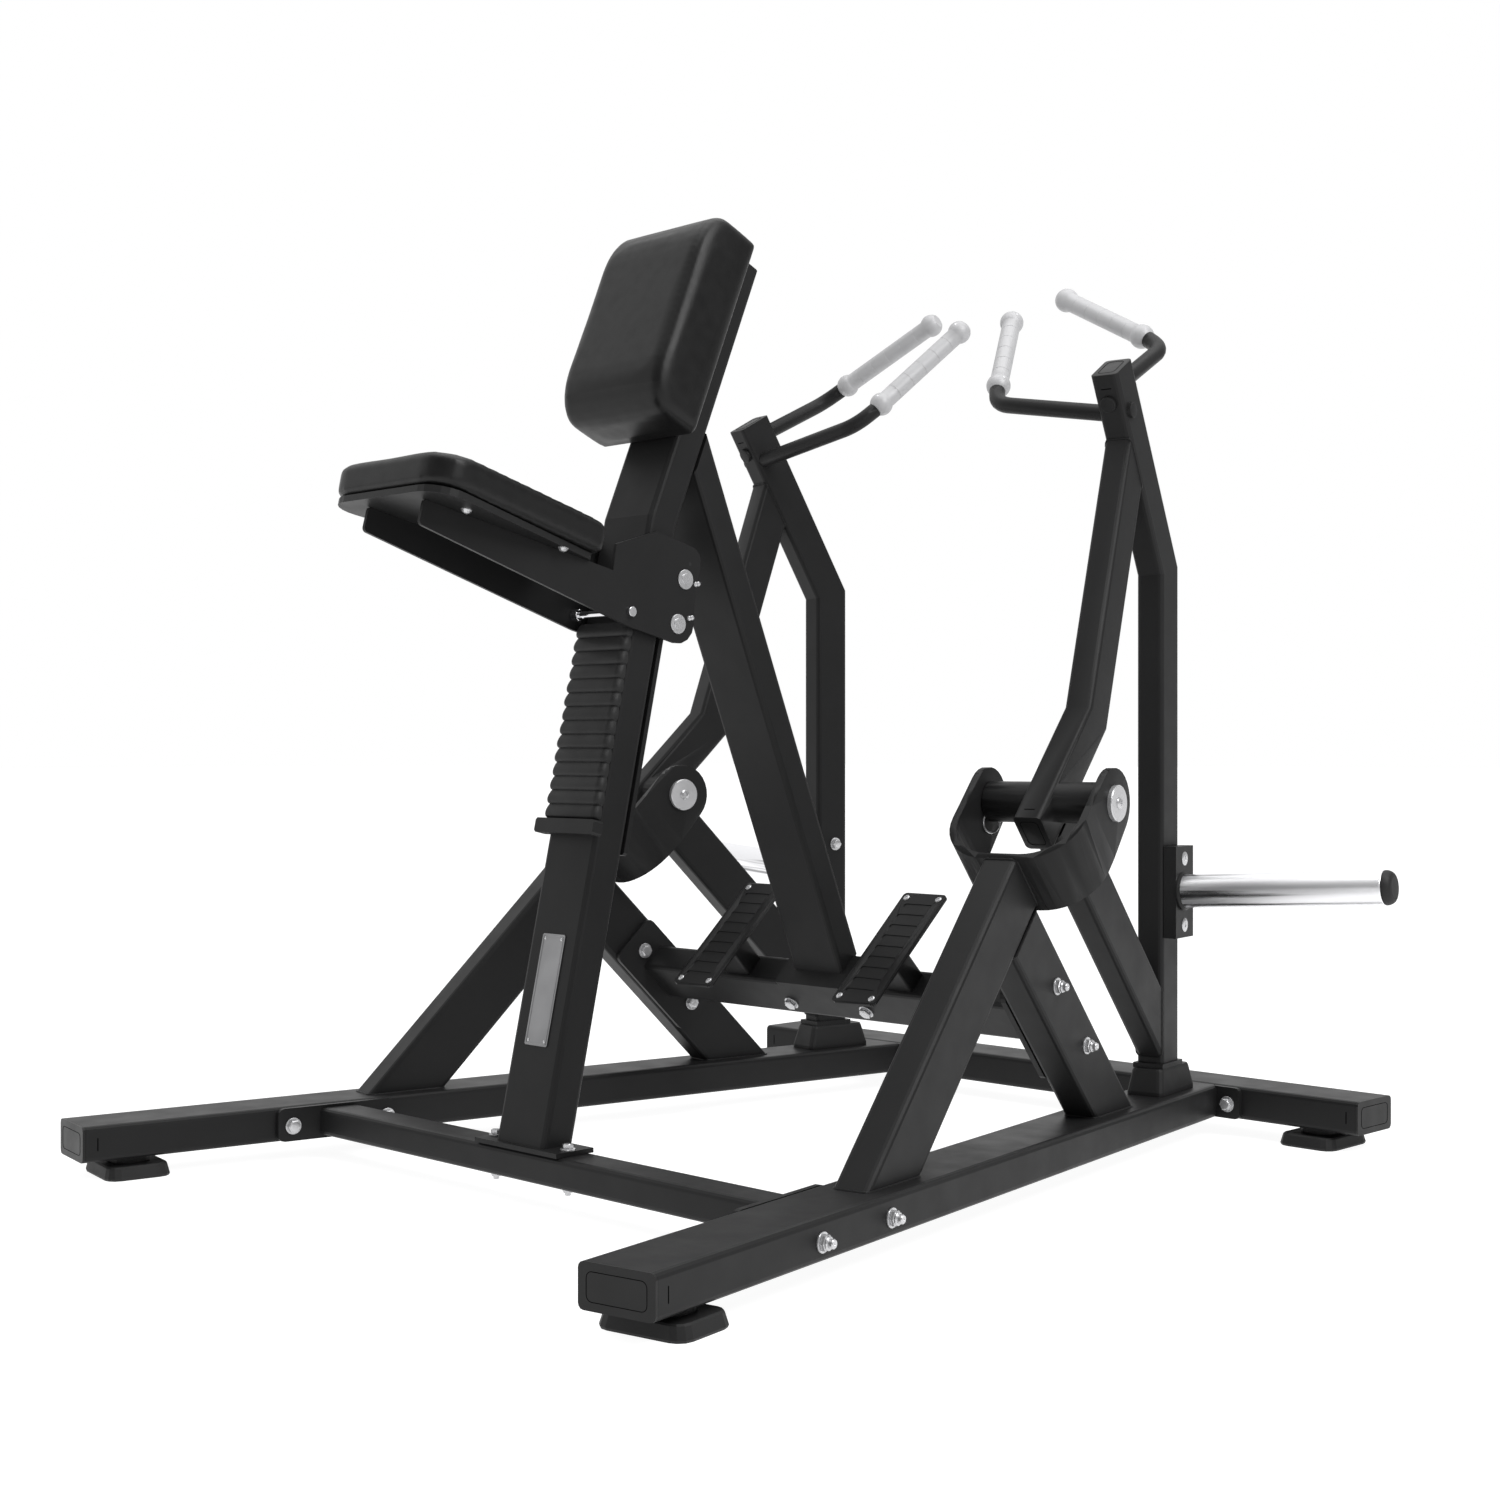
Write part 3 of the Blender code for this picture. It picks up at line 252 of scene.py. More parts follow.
def coated(name, shades, rough, grain, height, metallic=0.0, stretch=None, sheen=0.5):
    """A finish with cloudy grey, cloudy roughness and a fine surface grain."""
    mat, tree, shader = new_material(name)
    set_inputs(shader, {"Specular IOR Level": sheen, "Metallic": metallic})
    clouded(tree, shader, shades, 9.0, rough, 23.0)
    bump(tree, shader, noise(tree, grain, 2.0, stretch), 0.35, height)
    return mat


def make_vinyl():
    """Upholstery vinyl: small pebbles over broader creases."""
    mat, tree, shader = new_material("upholstery_vinyl")
    shader.inputs["Specular IOR Level"].default_value = 0.28
    clouded(tree, shader, (0.003, 0.0045), 14.0, (0.36, 0.44), 60.0)
    broad = bump(tree, shader, noise(tree, 90.0, 4.0), 0.12, 0.0004)
    bump(tree, shader, cells(tree, 900.0), 0.22, 0.0002, below=broad)
    return mat


def make_sleeve_chrome():
    """Polished plating whose colour carries lengthwise dark streaks, a painted reflection of dark surroundings,
    that fade towards the tip.

    The piece's own X runs along the sleeve from its root, in metres.
    """
    sleeve_length = 0.26
    reflection_streak_edges = (0.38, 0.52)
    mat, tree, shader = new_material("sleeve_chrome")
    # Dark lengthwise streaks in the base colour: painted reflections, fading from root to tip.
    painted_reflection_streaks = noise(tree, 1.0, 2.0, (3.0, 95.0, 95.0))
    coords = add_node(tree, "TexCoord")
    parts = add_node(tree, "SeparateXYZ")
    tree.links.new(coords.outputs["Object"], parts.inputs["Vector"])
    fade = add_node(tree, "MapRange", in_From_Min=0.0,
                    in_From_Max=sleeve_length, in_To_Min=-0.04, in_To_Max=0.14)
    tree.links.new(parts.outputs["X"], fade.inputs["Value"])
    level = add_node(tree, "Math", operation="ADD")
    tree.links.new(painted_reflection_streaks, level.inputs[0])
    tree.links.new(fade.outputs["Result"], level.inputs[1])
    for low, high, target in ((grey(0.26), grey(0.92), "Base Color"),
                              (0.20, 0.38, "Roughness")):
        tree.links.new(ramp(tree, level.outputs["Value"], low, high, *reflection_streak_edges),
                       shader.inputs[target])
    shader.inputs["Metallic"].default_value = 1.0
    bump(tree, shader, noise(tree, 300.0, 2.0, (0.05, 1.0, 1.0)), 0.2, 0.00002)
    return mat


MATERIALS = {
    "painted_steel": coated("powder_coat", (0.0125, 0.0145), (0.40, 0.48), 900.0, 0.00004,
                            sheen=0.16),
    "black_rubber": coated("moulded_rubber", (0.012, 0.015), (0.50, 0.62), 600.0, 0.0002,
                           sheen=0.3),
    "black_plastic": coated("moulded_plastic", (0.010, 0.012), (0.40, 0.50), 800.0, 0.00015,
                            sheen=0.25),
    "black_vinyl": make_vinyl(),
    "chrome": coated("polished_chrome", (0.70, 0.78), (0.07, 0.12), 150.0, 0.00002, 1.0),
    "zinc_steel": coated("bright_zinc", (0.50, 0.60), (0.18, 0.26), 500.0, 0.00002, 0.65),
    "silver_grip": coated("satin_silver", (0.40, 0.45), (0.42, 0.50), 120.0, 0.00001, 0.15),
    "brushed_plate": coated("brushed_plate", (0.20, 0.34), (0.28, 0.42), 1500.0, 0.00006,
                            1.0, (1.0, 1.0, 0.03)),
}
SLEEVE_CHROME = make_sleeve_chrome()
# Near-black finish for the lines and slits on caps: painted shade where the real parts only have shadow in grooves
# and slots.
PAINTED_SHADE = coated("painted_gap_shade", (0.0006, 0.0010), (0.80, 0.90), 600.0, 0.00002, sheen=0.0)
SLOTS = {part["node"]: part["material_slot"] for part in frame["record"]["subparts"]}


def dress_frame():
    """Every carried-over node takes the finish of its slot."""
    for name, node in NODES.items():
        node.data.materials.clear()
        node.data.materials.append(MATERIALS[SLOTS[name]])


# ---- building pieces ----


def across(axis):
    """Two directions perpendicular to an axis and to each other."""
    axis = Vector(axis).normalized()
    helper = UP if abs(axis.z) < 0.9 else RIGHT
    side = helper.cross(axis).normalized()
    return side, axis.cross(side)


def circle(radius, steps):
    """Outline points of a circle."""
    return [(radius * math.cos(2 * math.pi * k / steps),
             radius * math.sin(2 * math.pi * k / steps)) for k in range(steps)]


def rounded_rect(width, depth, radius, steps=5):
    """Outline points of a rectangle with rounded corners."""
    points = []
    for turn in range(4):
        a = width / 2 - radius if turn in (0, 3) else radius - width / 2
        b = depth / 2 - radius if turn in (0, 1) else radius - depth / 2
        for step in range(steps + 1):
            angle = math.pi / 2 * (turn + step / steps)
            points.append((a + radius * math.cos(angle), b + radius * math.sin(angle)))
    return points


SHARP_ANGLE = 32.0


def shade(mesh, sharp=SHARP_ANGLE):
    """Smooth shading, with an edge kept where faces meet at a sharper angle."""
    mesh.shade_smooth()
    mesh.set_sharp_from_angle(angle=math.radians(sharp))


def edit(mesh, change):
    """Run a bmesh operation on a mesh."""
    work = bmesh.new()
    work.from_mesh(mesh)
    change(work)
    work.to_mesh(mesh)
    work.free()


def add_object(name, data):
    """New object in the scene."""
    obj = bpy.data.objects.new(name, data)
    bpy.context.scene.collection.objects.link(obj)
    return obj


def finish_piece(obj, slot, body, replaces=(), material=None):
    """Give a piece the material of its slot, or the one given, attach it to its body and hide the nodes it stands
    for.
    """
    obj.data.materials.clear()
    obj.data.materials.append(material or MATERIALS[slot])
    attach(obj, body)
    if replaces:
        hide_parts(*replaces)
    return obj


class Piece:
    """Mesh gathered from several closed shapes, then placed on a body."""

    def __init__(self):
        self.verts = []
        self.faces = []

    def loft(self, rings, closed=False):
        """Skin through rings of equal point counts; an open run gets flat ends."""
        count = len(rings[0])
        base = len(self.verts)
        self.verts += [Vector(p) for ring in rings for p in ring]
        last = len(rings) if closed else len(rings) - 1
        for r in range(last):
            low, high = base + r * count, base + (r + 1) % len(rings) * count
            for k in range(count):
                nxt = (k + 1) % count
                self.faces.append((low + k, low + nxt, high + nxt, high + k))
        if not closed:
            self.faces.append(tuple(base + k for k in reversed(range(count))))
            top = base + (len(rings) - 1) * count
            self.faces.append(tuple(top + k for k in range(count)))
        return self

    def revolve(self, origin, axis, profile, steps=32):
        """Turned body from (distance along the axis, radius) pairs."""
        side, up = across(axis)
        axis = Vector(axis).normalized()
        return self.loft([[Vector(origin) + axis * along + side * a + up * b
                           for a, b in circle(radius, steps)] for along, radius in profile])

    def prism(self, origin, side, up, outline_levels):
        """Stacked outlines: (height along side x up, outline) pairs."""
        side, up = Vector(side).normalized(), Vector(up).normalized()
        normal = side.cross(up)
        return self.loft([[Vector(origin) + side * a + up * b + normal * height
                           for a, b in outline] for height, outline in outline_levels])

    def tube(self, path, radius, steps=8, closed=False, ripple=0.0):
        """Round bar along a path of points; ripple varies its thickness along it."""
        path = [Vector(p) for p in path]
        count = len(path)
        rings = []
        side = None
        for k, point in enumerate(path):
            ahead = path[(k + 1) % count] if closed or k < count - 1 else point
            behind = path[k - 1] if closed or k > 0 else point
            travel = (ahead - behind).normalized()
            if side is None:
                side = across(travel)[0]
            side = (side - travel * side.dot(travel)).normalized()
            up = travel.cross(side)
            size = radius * (1 + ripple * math.sin(2.1 * k))
            rings.append([point + side * a + up * b for a, b in circle(size, steps)])
        return self.loft(rings, closed)

    def place(self, name, slot, body, replaces=(), material=None, sharp=SHARP_ANGLE,
              local=None):
        """Turn the gathered shapes into an object; local gives it axes of its own."""
        mesh = bpy.data.meshes.new(name)
        obj = add_object(name, mesh)
        verts = self.verts
        if local is not None:
            obj.matrix_world = local
            inverse = local.inverted()
            verts = [inverse @ v for v in verts]
        mesh.from_pydata(verts, [], self.faces)
        edit(mesh, lambda work: bmesh.ops.recalc_face_normals(work, faces=work.faces))
        shade(mesh, sharp)
        return finish_piece(obj, slot, body, replaces, material)


BOLT_FLATS, BOLT_WASHER = 0.017, 0.012
WASHER_TOP = 0.0022


def hexagon(piece, origin, axis, flats, low, high, chamfer=0.0008):
    """Chamfered hexagon between two heights on the axis."""
    radius = flats / math.sqrt(3)
    piece.revolve(origin, axis, [(low, radius - chamfer), (low + chamfer, radius),
                                 (high - chamfer, radius), (high, radius - chamfer)], 6)


def flat_washer(piece, origin, axis, radius):
    """Washer lying on a surface."""
    piece.revolve(origin, axis, [(0, radius - 0.0003), (0.0003, radius),
                                 (0.0019, radius), (WASHER_TOP, radius - 0.0003)])


def hex_bolt(piece, origin, axis, flats=BOLT_FLATS, washer=BOLT_WASHER):
    """Washer and chamfered hex head standing on a surface."""
    flat_washer(piece, origin, axis, washer)
    hexagon(piece, origin, axis, flats, WASHER_TOP, 0.0078)
    piece.revolve(origin, axis, [(0.0078, flats * 0.45), (0.0084, flats * 0.42),
                                 (0.0087, flats * 0.3)])


def lock_nut(piece, origin, axis):
    """Washer, collared nut and the rounded end of its bolt."""
    flat_washer(piece, origin, axis, BOLT_WASHER)
    hexagon(piece, origin, axis, BOLT_FLATS, WASHER_TOP, 0.0080)
    collar = BOLT_FLATS * 0.48
    piece.revolve(origin, axis, [(0.0080, collar), (0.0098, collar), (0.0110, collar * 0.86),
                                 (0.0112, 0.0056), (0.0156, 0.0056), (0.0168, 0.0046),
                                 (0.0170, 0.0016), (0.0160, 0.0008)])


def button_screw(piece, origin, axis, radius, height):
    """Low rounded head with a turned socket."""
    inner = radius * 0.42
    piece.revolve(origin, axis, [(0, radius), (height * 0.35, radius),
                                 (height * 0.75, radius * 0.86), (height, radius * 0.62),
                                 (height, inner + 0.0003), (height * 0.45, inner),
                                 (height * 0.4, 0.0002)], 30)


def bead(piece, loop, radius=0.0017, ripple=0.16):
    """Weld bead along a closed loop of corner points."""
    step = 0.004
    path = []
    for k, start in enumerate(loop):
        end = loop[(k + 1) % len(loop)]
        steps = max(1, round((end - start).length / step))
        path += [start.lerp(end, s / steps) for s in range(steps)]
    piece.tube(path, radius, 6, True, ripple)


def end_ring(node, direction, share):
    """Outline of a tube's end: the points beyond a share of its length, in order."""
    direction = Vector(direction).normalized()
    low, high = span(node, direction)
    points = slab(node, direction, low + (high - low) * share, high + 1)
    points = np.unique(points.round(5), axis=0)
    centre = points.mean(axis=0)
    _, _, basis = np.linalg.svd(points - centre)
    flat = (points - centre) @ basis[:2].T
    order = np.argsort(np.arctan2(flat[:, 1], flat[:, 0]))
    return [Vector(points[k]) for k in order]


# ---- frame details ----


def rail_fasteners(side):
    """Through bolts of the front and rear joint plates on one rail.

    The insets are from the plates' edges to the bolts.
    """
    front_inset, back_inset, rear_inset = 0.0225, 0.0130, 0.021
    plate_thickness = 0.008
    cap = side.node("rail_cap")
    inner, outer = span(cap, side.out)
    height = middle(cap, UP) - 0.002
    plate = slab("front_cross_tube", side.out, inner - 0.012, inner + 0.001)
    plate_face = reach(plate, side.out)[0]
    ends = reach(plate, side.back)
    piece = Piece()
    for along in (ends[0] + front_inset, ends[1] - back_inset):
        hex_bolt(piece, at(side.axes, (plate_face, along, height)), -side.out)
        lock_nut(piece, at(side.axes, (outer, along, height)), side.out)
    rear = side.span("base_rail", REAR)[1]
    plate = slab(side.node("base_rail"), REAR, rear - 0.0009, rear + 0.001)
    ends = reach(plate, RIGHT)
    tube_rear = span("rear_cross_tube", REAR)[1]
    for x in (ends[0] + rear_inset, ends[1] - rear_inset):
        hex_bolt(piece, Vector((x, rear - plate_thickness, height)), -REAR)
        hex_bolt(piece, Vector((x, tube_rear, height)), REAR)
    side.add(piece, "rail_fasteners", "zinc_steel")


def strut_fasteners(side):
    """Bolts through the mid tube's end plates and the rear strut."""
    lower_bolt, upper_bolt, nut_rise = -0.059, 0.070, 0.008
    strut = side.node("rear_strut")
    inner, outer = span(strut, side.out)
    plate = slab("mid_cross_tube", side.out, inner - 0.010, inner + 0.001)
    plate_face = reach(plate, side.out)[0]
    slope = (side.back - UP).normalized()
    rise = (side.back + UP).normalized()
    axes = (side.out, slope, rise)
    along = sum(reach(plate, slope)) / 2
    level = sum(reach(plate, rise)) / 2
    piece = Piece()
    for offset in (lower_bolt, upper_bolt):
        hex_bolt(piece, at(axes, (plate_face, along + offset, level)), -side.out)
        lock_nut(piece, at(axes, (outer, along + offset, level + nut_rise)), side.out)
    side.add(piece, "strut_fasteners", "zinc_steel")


def mid_tube_fasteners():
    """Two bolts on the mid tube's lower front face and two under the post."""
    from_middle = 0.077
    slide = (REAR - UP) * 0.004  # down the slanting face
    piece = Piece()
    low_front = Vector((0, -1, -1)).normalized()
    for x in (-from_middle, from_middle):
        aim = centre_of("mid_cross_tube")
        aim.x = x
        point, normal = touch("mid_cross_tube", aim + low_front * 0.3, -low_front)
        hex_bolt(piece, point + slide, normal)
    piece.place("mid_tube_bolts", "zinc_steel", "frame")
    small_flats = 0.013
    piece = Piece()
    base = slab("seat_post", UP, 0, span("front_cross_tube", UP)[1] + 0.003)
    y = sum(reach(base, REAR)) / 2 - 0.003
    edge = reach(base, RIGHT)[1] - 0.0105
    for x in (-edge, edge):
        top, _ = touch("seat_post", Vector((x, y, 0.3)), -UP)
        hex_bolt(piece, top, UP, small_flats, 0.010)
        low = span("front_cross_tube", UP)[0]
        under, _ = touch("front_cross_tube", Vector((x, y, low - 0.1)), UP)
        hexagon(piece, under, -UP, small_flats, 0.0, 0.008)
        piece.revolve(under, -UP, [(0, 0.004), (0.0115, 0.004), (0.012, 0.0035)], 20)
    piece.place("post_base_bolts", "zinc_steel", "frame")


def pivot_details(side):
    """Socket screws in the axle washers and the split ring on the inner ear."""
    ends = side.span("pivot_axle", side.out)
    back, height = side.pivot.dot(side.back), side.pivot.z
    piece = Piece()
    for end, direction in ((ends[1], side.out), (ends[0], -side.out)):
        spot = at(side.axes, (end, back, height))
        button_screw(piece, spot, direction, 0.008, 0.0028)
    side.add(piece, "axle_screws", "zinc_steel")
    ears = side.span("pivot_bracket", side.out)
    sleeve = side.span("arm_tube", side.out)
    ear_thickness, ring_radius = 0.010, 0.0150
    gap = (ears[0] + ear_thickness + sleeve[0]) / 2 + 0.004
    ring = Piece()
    flat = (side.out * 0.35 + side.back).normalized()
    centre = at(side.axes, (gap, back - 0.006, height - 0.029))
    ring.tube([centre + flat * a + UP * b for a, b in circle(ring_radius, 40)],
              0.0015, 8, True)
    ring.revolve(centre + UP * ring_radius - side.out * 0.004, side.out,
                 [(0, 0.002), (0.008, 0.002)], 12)
    side.add(ring, "lock_ring", "zinc_steel")


def painted_groove_line(piece, origin, side_dir, up_dir, width, depth, radius):
    """Thin near-black line around the inner field of a moulded cap's face: painted shade of its parting groove."""
    path = [origin + side_dir * a + up_dir * b
            for a, b in rounded_rect(width, depth, radius, 4)]
    piece.tube(path, 0.0004, 6, True)


def painted_slit(piece, origin, along, normal, length, width=0.0014):
    """Narrow near-black strip on a tube's face: painted shade of the slot a snap-in cap's tab sits in."""
    outline = rounded_rect(length, width, width * 0.45, 2)
    piece.prism(origin, along, normal.cross(along), [(-0.0003, outline), (0.0002, outline)])


def mark_cap(side, name, face, inward, sideways, width, height, slit_place):
    """Painted shade on a moulded cap: a near-black line for the parting groove on its face and a near-black slit
    on each of its sides.
    """
    marks = Piece()
    painted_groove_line(marks, face, sideways, UP, width * 0.78, height * 0.62, 0.007)
    for way in (-1, 1):
        spot = face + inward * slit_place + sideways * (way * width / 2)
        painted_slit(marks, spot, UP, sideways * way, 0.018)
    side.add(marks, name, "black_rubber", material=PAINTED_SHADE)


def rail_cap_details(side):
    """Painted shade of the cap in a rail's front end: its groove line and side slits."""
    cap = side.node("rail_cap")
    inner, outer = span(cap, side.out)
    low, high = span(cap, UP)
    face = at(side.axes, ((inner + outer) / 2, span(cap, side.back)[0], (low + high) / 2))
    mark_cap(side, "rail_cap_tabs", face, side.back, side.out, outer - inner, high - low,
             0.021)


def rear_cap_details(side):
    """Painted shade of the rear tube's end cap: its groove line and side slits."""
    low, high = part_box(side.node("rear_tube_cap"))
    face = (low + high) / 2
    face.x = high.x if side.sign > 0 else low.x
    mark_cap(side, "rear_cap_tabs", face, RIGHT * -side.sign, REAR, high.y - low.y,
             high.z - low.z, 0.019)


def frame_welds(side):
    """Beads where the struts stand on the rail and meet the bracket and each other."""
    piece = Piece()
    for part in ("front_strut", "rear_strut"):
        for way in (-UP, UP):
            bead(piece, end_ring(side.node(part), way, 0.6))
    side.add(piece, "frame_welds", "painted_steel")


def foot_plate_details(side):
    """Foot plate with nine pressed grip slots and a screw in each corner."""
    count, first_slot, pitch, slot_depth = 9, 0.0257, 0.0212, 0.0010
    plate_length, screw_inset = 0.2180, 0.0105
    node = side.node("foot_plate")
    low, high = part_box(node)
    top = slab(node, UP, high.z - 0.02, high.z)
    x_low, x_high = reach(top, RIGHT)
    centre_x = (x_low + x_high) / 2
    face, normal = touch(node, Vector((centre_x, low.y + 0.05, high.z + 0.1)), -UP)
    along = RIGHT.cross(normal).normalized()
    along = along if along.z > 0 else -along
    axes = (RIGHT, along, normal)
    level = face.dot(normal)
    end = reach(top, along)[1]
    cutter = Piece()
    slot_outline = rounded_rect(0.0520, 0.0080, 0.0038, 6)
    for k in range(count):
        spot = at(axes, (centre_x, end - first_slot - k * pitch, level))
        cutter.prism(spot, RIGHT, along, [(-slot_depth, slot_outline),
                                          (0.004, slot_outline)])
    plate = add_object(side.node("grip_plate"), NODES[node].data.copy())
    tool_mesh = bpy.data.meshes.new("slot_cutter")
    tool_mesh.from_pydata(cutter.verts, [], cutter.faces)
    tool = add_object("slot_cutter", tool_mesh)
    modifier = plate.modifiers.new("slots", "BOOLEAN")
    modifier.operation = "DIFFERENCE"
    modifier.solver = "EXACT"
    modifier.object = tool
    weld(plate.data)
    bake(plate)
    bpy.data.objects.remove(tool)
    shade(plate.data)
    finish_piece(plate, "painted_steel", "frame", (node,))
    screws = Piece()
    for x in (x_low + 0.0100, x_high - 0.0100):
        for place in (end - plate_length + screw_inset, end - screw_inset):
            button_screw(screws, at(axes, (x, place, level)), normal, 0.0052, 0.0016)
    side.add(screws, "foot_plate_screws", "zinc_steel")


def weld(mesh):
    """Join the doubled corner points of an imported node."""
    edit(mesh, lambda work: bmesh.ops.remove_doubles(work, verts=work.verts, dist=0.00002))


def bake(obj):
    """Replace an object's mesh by the result of its modifiers."""
    graph = bpy.context.evaluated_depsgraph_get()
    result = bpy.data.meshes.new_from_object(obj.evaluated_get(graph))
    obj.modifiers.clear()
    obj.data = result


def smoothed(node, body):
    """The same node with its curved faces shaded as one surface."""
    copy = add_object(node + "_smooth", NODES[node].data.copy())
    weld(copy.data)
    shade(copy.data)
    weighted = copy.modifiers.new("even_shading", "WEIGHTED_NORMAL")
    weighted.keep_sharp = True
    weighted.weight = 100
    bake(copy)
    finish_piece(copy, SLOTS[node], body, (node,))


# ---- post, bellows and nameplate ----


def bellows_section(half, proud):
    """Closed outline (x, ahead) of one level of the bellows, with soft corners."""
    radius, steps = 0.0085, 6
    outline = [(-half, 0.0)]
    for centre, start in ((-half + radius, math.pi), (half - radius, math.pi / 2)):
        for k in range(steps + 1):
            angle = start - math.pi / 2 * k / steps
            outline.append((centre + radius * math.cos(angle),
                            proud - radius + radius * math.sin(angle)))
    return outline + [(half, 0.0)]


def make_bellows():
    """Pleated rubber skin, each pleat soft and slightly different from the next."""
    pitch, depth, swing, sag = 0.0193, 0.0032, 0.0005, 0.0016
    low, high = span("bellows", POST_UP)
    rear, front = span("bellows", POST_AHEAD)
    half = span("bellows", RIGHT)[1]
    axes = (RIGHT, POST_AHEAD, POST_UP)
    count = round((high - low) / pitch)
    rings = []
    steps = 12
    for k in range(count * steps + 1):
        share = k / (count * steps)
        number, pleat = divmod(k / steps, 1.0)
        swell = math.sin(math.pi * pleat ** 0.7) ** 0.8 if 0 < pleat < 1 else 0.0
        lean = swing * math.sin(1.7 * number)
        width = half - 0.0030 + (0.0026 + lean) * swell
        proud = front - 0.0036 + depth * swell + lean * 0.3 * swell
        level = low + (high - low) * share
        ring = []
        for x, ahead in bellows_section(width, proud - rear):
            droop = sag * (1 - (x / half) ** 2) * swell
            ring.append(at(axes, (x, rear + ahead, max(level - droop, low))))
        rings.append(ring)
    bellows = Piece().loft(rings).place("pleated_bellows", "black_rubber", "frame",
                                        ("bellows",), sharp=60.0)
    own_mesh(bellows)


def nameplate_details():
    """Plain plate: a raised rim and a rivet in each corner, without any lettering."""
    low, high = span("nameplate", POST_UP)
    front = span("nameplate", POST_AHEAD)[1]
    half = span("nameplate", RIGHT)[1]
    axes = (RIGHT, POST_AHEAD, POST_UP)
    rim_inset, rivet_inset, steps = 0.003, 0.0065, 8
    x, bottom, top = half - rim_inset, low + rim_inset, high - rim_inset
    corners = [at(axes, (a, front, level))
               for a, level in ((-x, bottom), (x, bottom), (x, top), (-x, top))]
    path = []
    for k, corner in enumerate(corners):
        path += [corner.lerp(corners[(k + 1) % 4], j / steps) for j in range(steps)]
    Piece().tube(path, 0.0006, 8, True).place("nameplate_rim", "brushed_plate", "frame")
    rivets = Piece()
    for x in (-half + rivet_inset, half - rivet_inset):
        for level in (low + rivet_inset, high - rivet_inset):
            rivets.revolve(at(axes, (x, front - 0.0001, level)), POST_AHEAD,
                           [(0, 0.0021), (0.0005, 0.0020), (0.0010, 0.0014),
                            (0.0012, 0.0004)], 20)
    rivets.place("nameplate_rivets", "zinc_steel", "frame")


# ---- seat carriage ----


def carriage_details():
    """Roller bolts, retaining pins, screws under the board and a knurled collar."""
    plates = [(-1, span("left_carriage_plate", RIGHT)[0]),
              (1, span("right_carriage_plate", RIGHT)[1])]
    upper, lower = (Vector(JOINTS[name + "_roller_turn"]["pos_m"])
                    for name in ("upper", "lower"))
    shaft = centre_of("latch_shaft")
    bolts, pins, holes = Piece(), Piece(), Piece()
    for sign, x in plates:
        out = RIGHT * sign
        for roller, offset in ((upper, (0.019, -0.0058)), (lower, (0.021, 0.0087))):
            spot = Vector((x, roller.y, roller.z))
            bolts.revolve(spot, out, [(0, 0.0132), (0.0004, 0.0136), (0.0018, 0.0136),
                                      (0.0022, 0.0132)])
            bolts.revolve(spot + out * 0.0022, out,
                          [(-0.0002, 0.0080), (0.0010, 0.0080), (0.0014, 0.0076),
                           (0.0014, 0.0046), (0.0009, 0.0044), (0.0009, 0.0034),
                           (0.0013, 0.0032), (0.0013, 0.0004)], 40)
            pin = spot + REAR * offset[0] + UP * offset[1]
            for shift in (0.0, 0.0048):
                pins.revolve(pin + REAR * shift + UP * shift * 0.2, out,
                             [(0, 0.0034), (0.0022, 0.0034), (0.0034, 0.0024),
                              (0.0038, 0.0010)], 20)
        spot = Vector((x, upper.y + 0.0095, upper.z + 0.0217))
        holes.revolve(spot, out, [(-0.0003, 0.0026), (0.0002, 0.0026)], 20)
        bolts.revolve(Vector((span("latch_shaft", RIGHT)[sign > 0], shaft.y, shaft.z)), out,
                      [(-0.0002, 0.0066), (0.0004, 0.0066), (0.0008, 0.0060)], 30)
    bolts.place("roller_bolts", "zinc_steel", "seat_carriage")
    pins.place("roller_pins", "zinc_steel", "seat_carriage")
    holes.place("carriage_holes", "black_rubber", "seat_carriage")

    screws = Piece()
    low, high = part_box("seat_board")
    for sign in (-1, 1):
        for share in (0.25, 0.80):
            start = Vector((sign * (0.084 - 0.012 * share), low.y + (high.y - low.y) * share,
                            low.z - 0.1))
            point, normal = touch("seat_board", start, UP)
            screws.revolve(point, normal, [(0, 0.0070), (0.0008, 0.0070), (0.0012, 0.0062),
                                           (0.0040, 0.0046), (0.0052, 0.0024)], 24)
    screws.place("seat_board_screws", "zinc_steel", "seat_carriage")

    inner = span("left_carriage_plate", RIGHT)[1]
    radius, knurl, ridges = 0.0078, 0.0005, 24
    rings = []
    for along, shrink in ((0.0005, 0.0008), (0.0013, 0.0), (0.0140, 0.0), (0.0148, 0.0008)):
        ring = []
        for k in range(2 * ridges):
            angle = math.pi * k / ridges
            size = radius - shrink + (knurl if k % 2 else 0.0)
            ring.append(Vector((inner + along, shaft.y + size * math.cos(angle),
                                shaft.z + size * math.sin(angle))))
        rings.append(ring)
    Piece().loft(rings).place("shaft_collar", "chrome", "seat_carriage")


# ---- pads ----


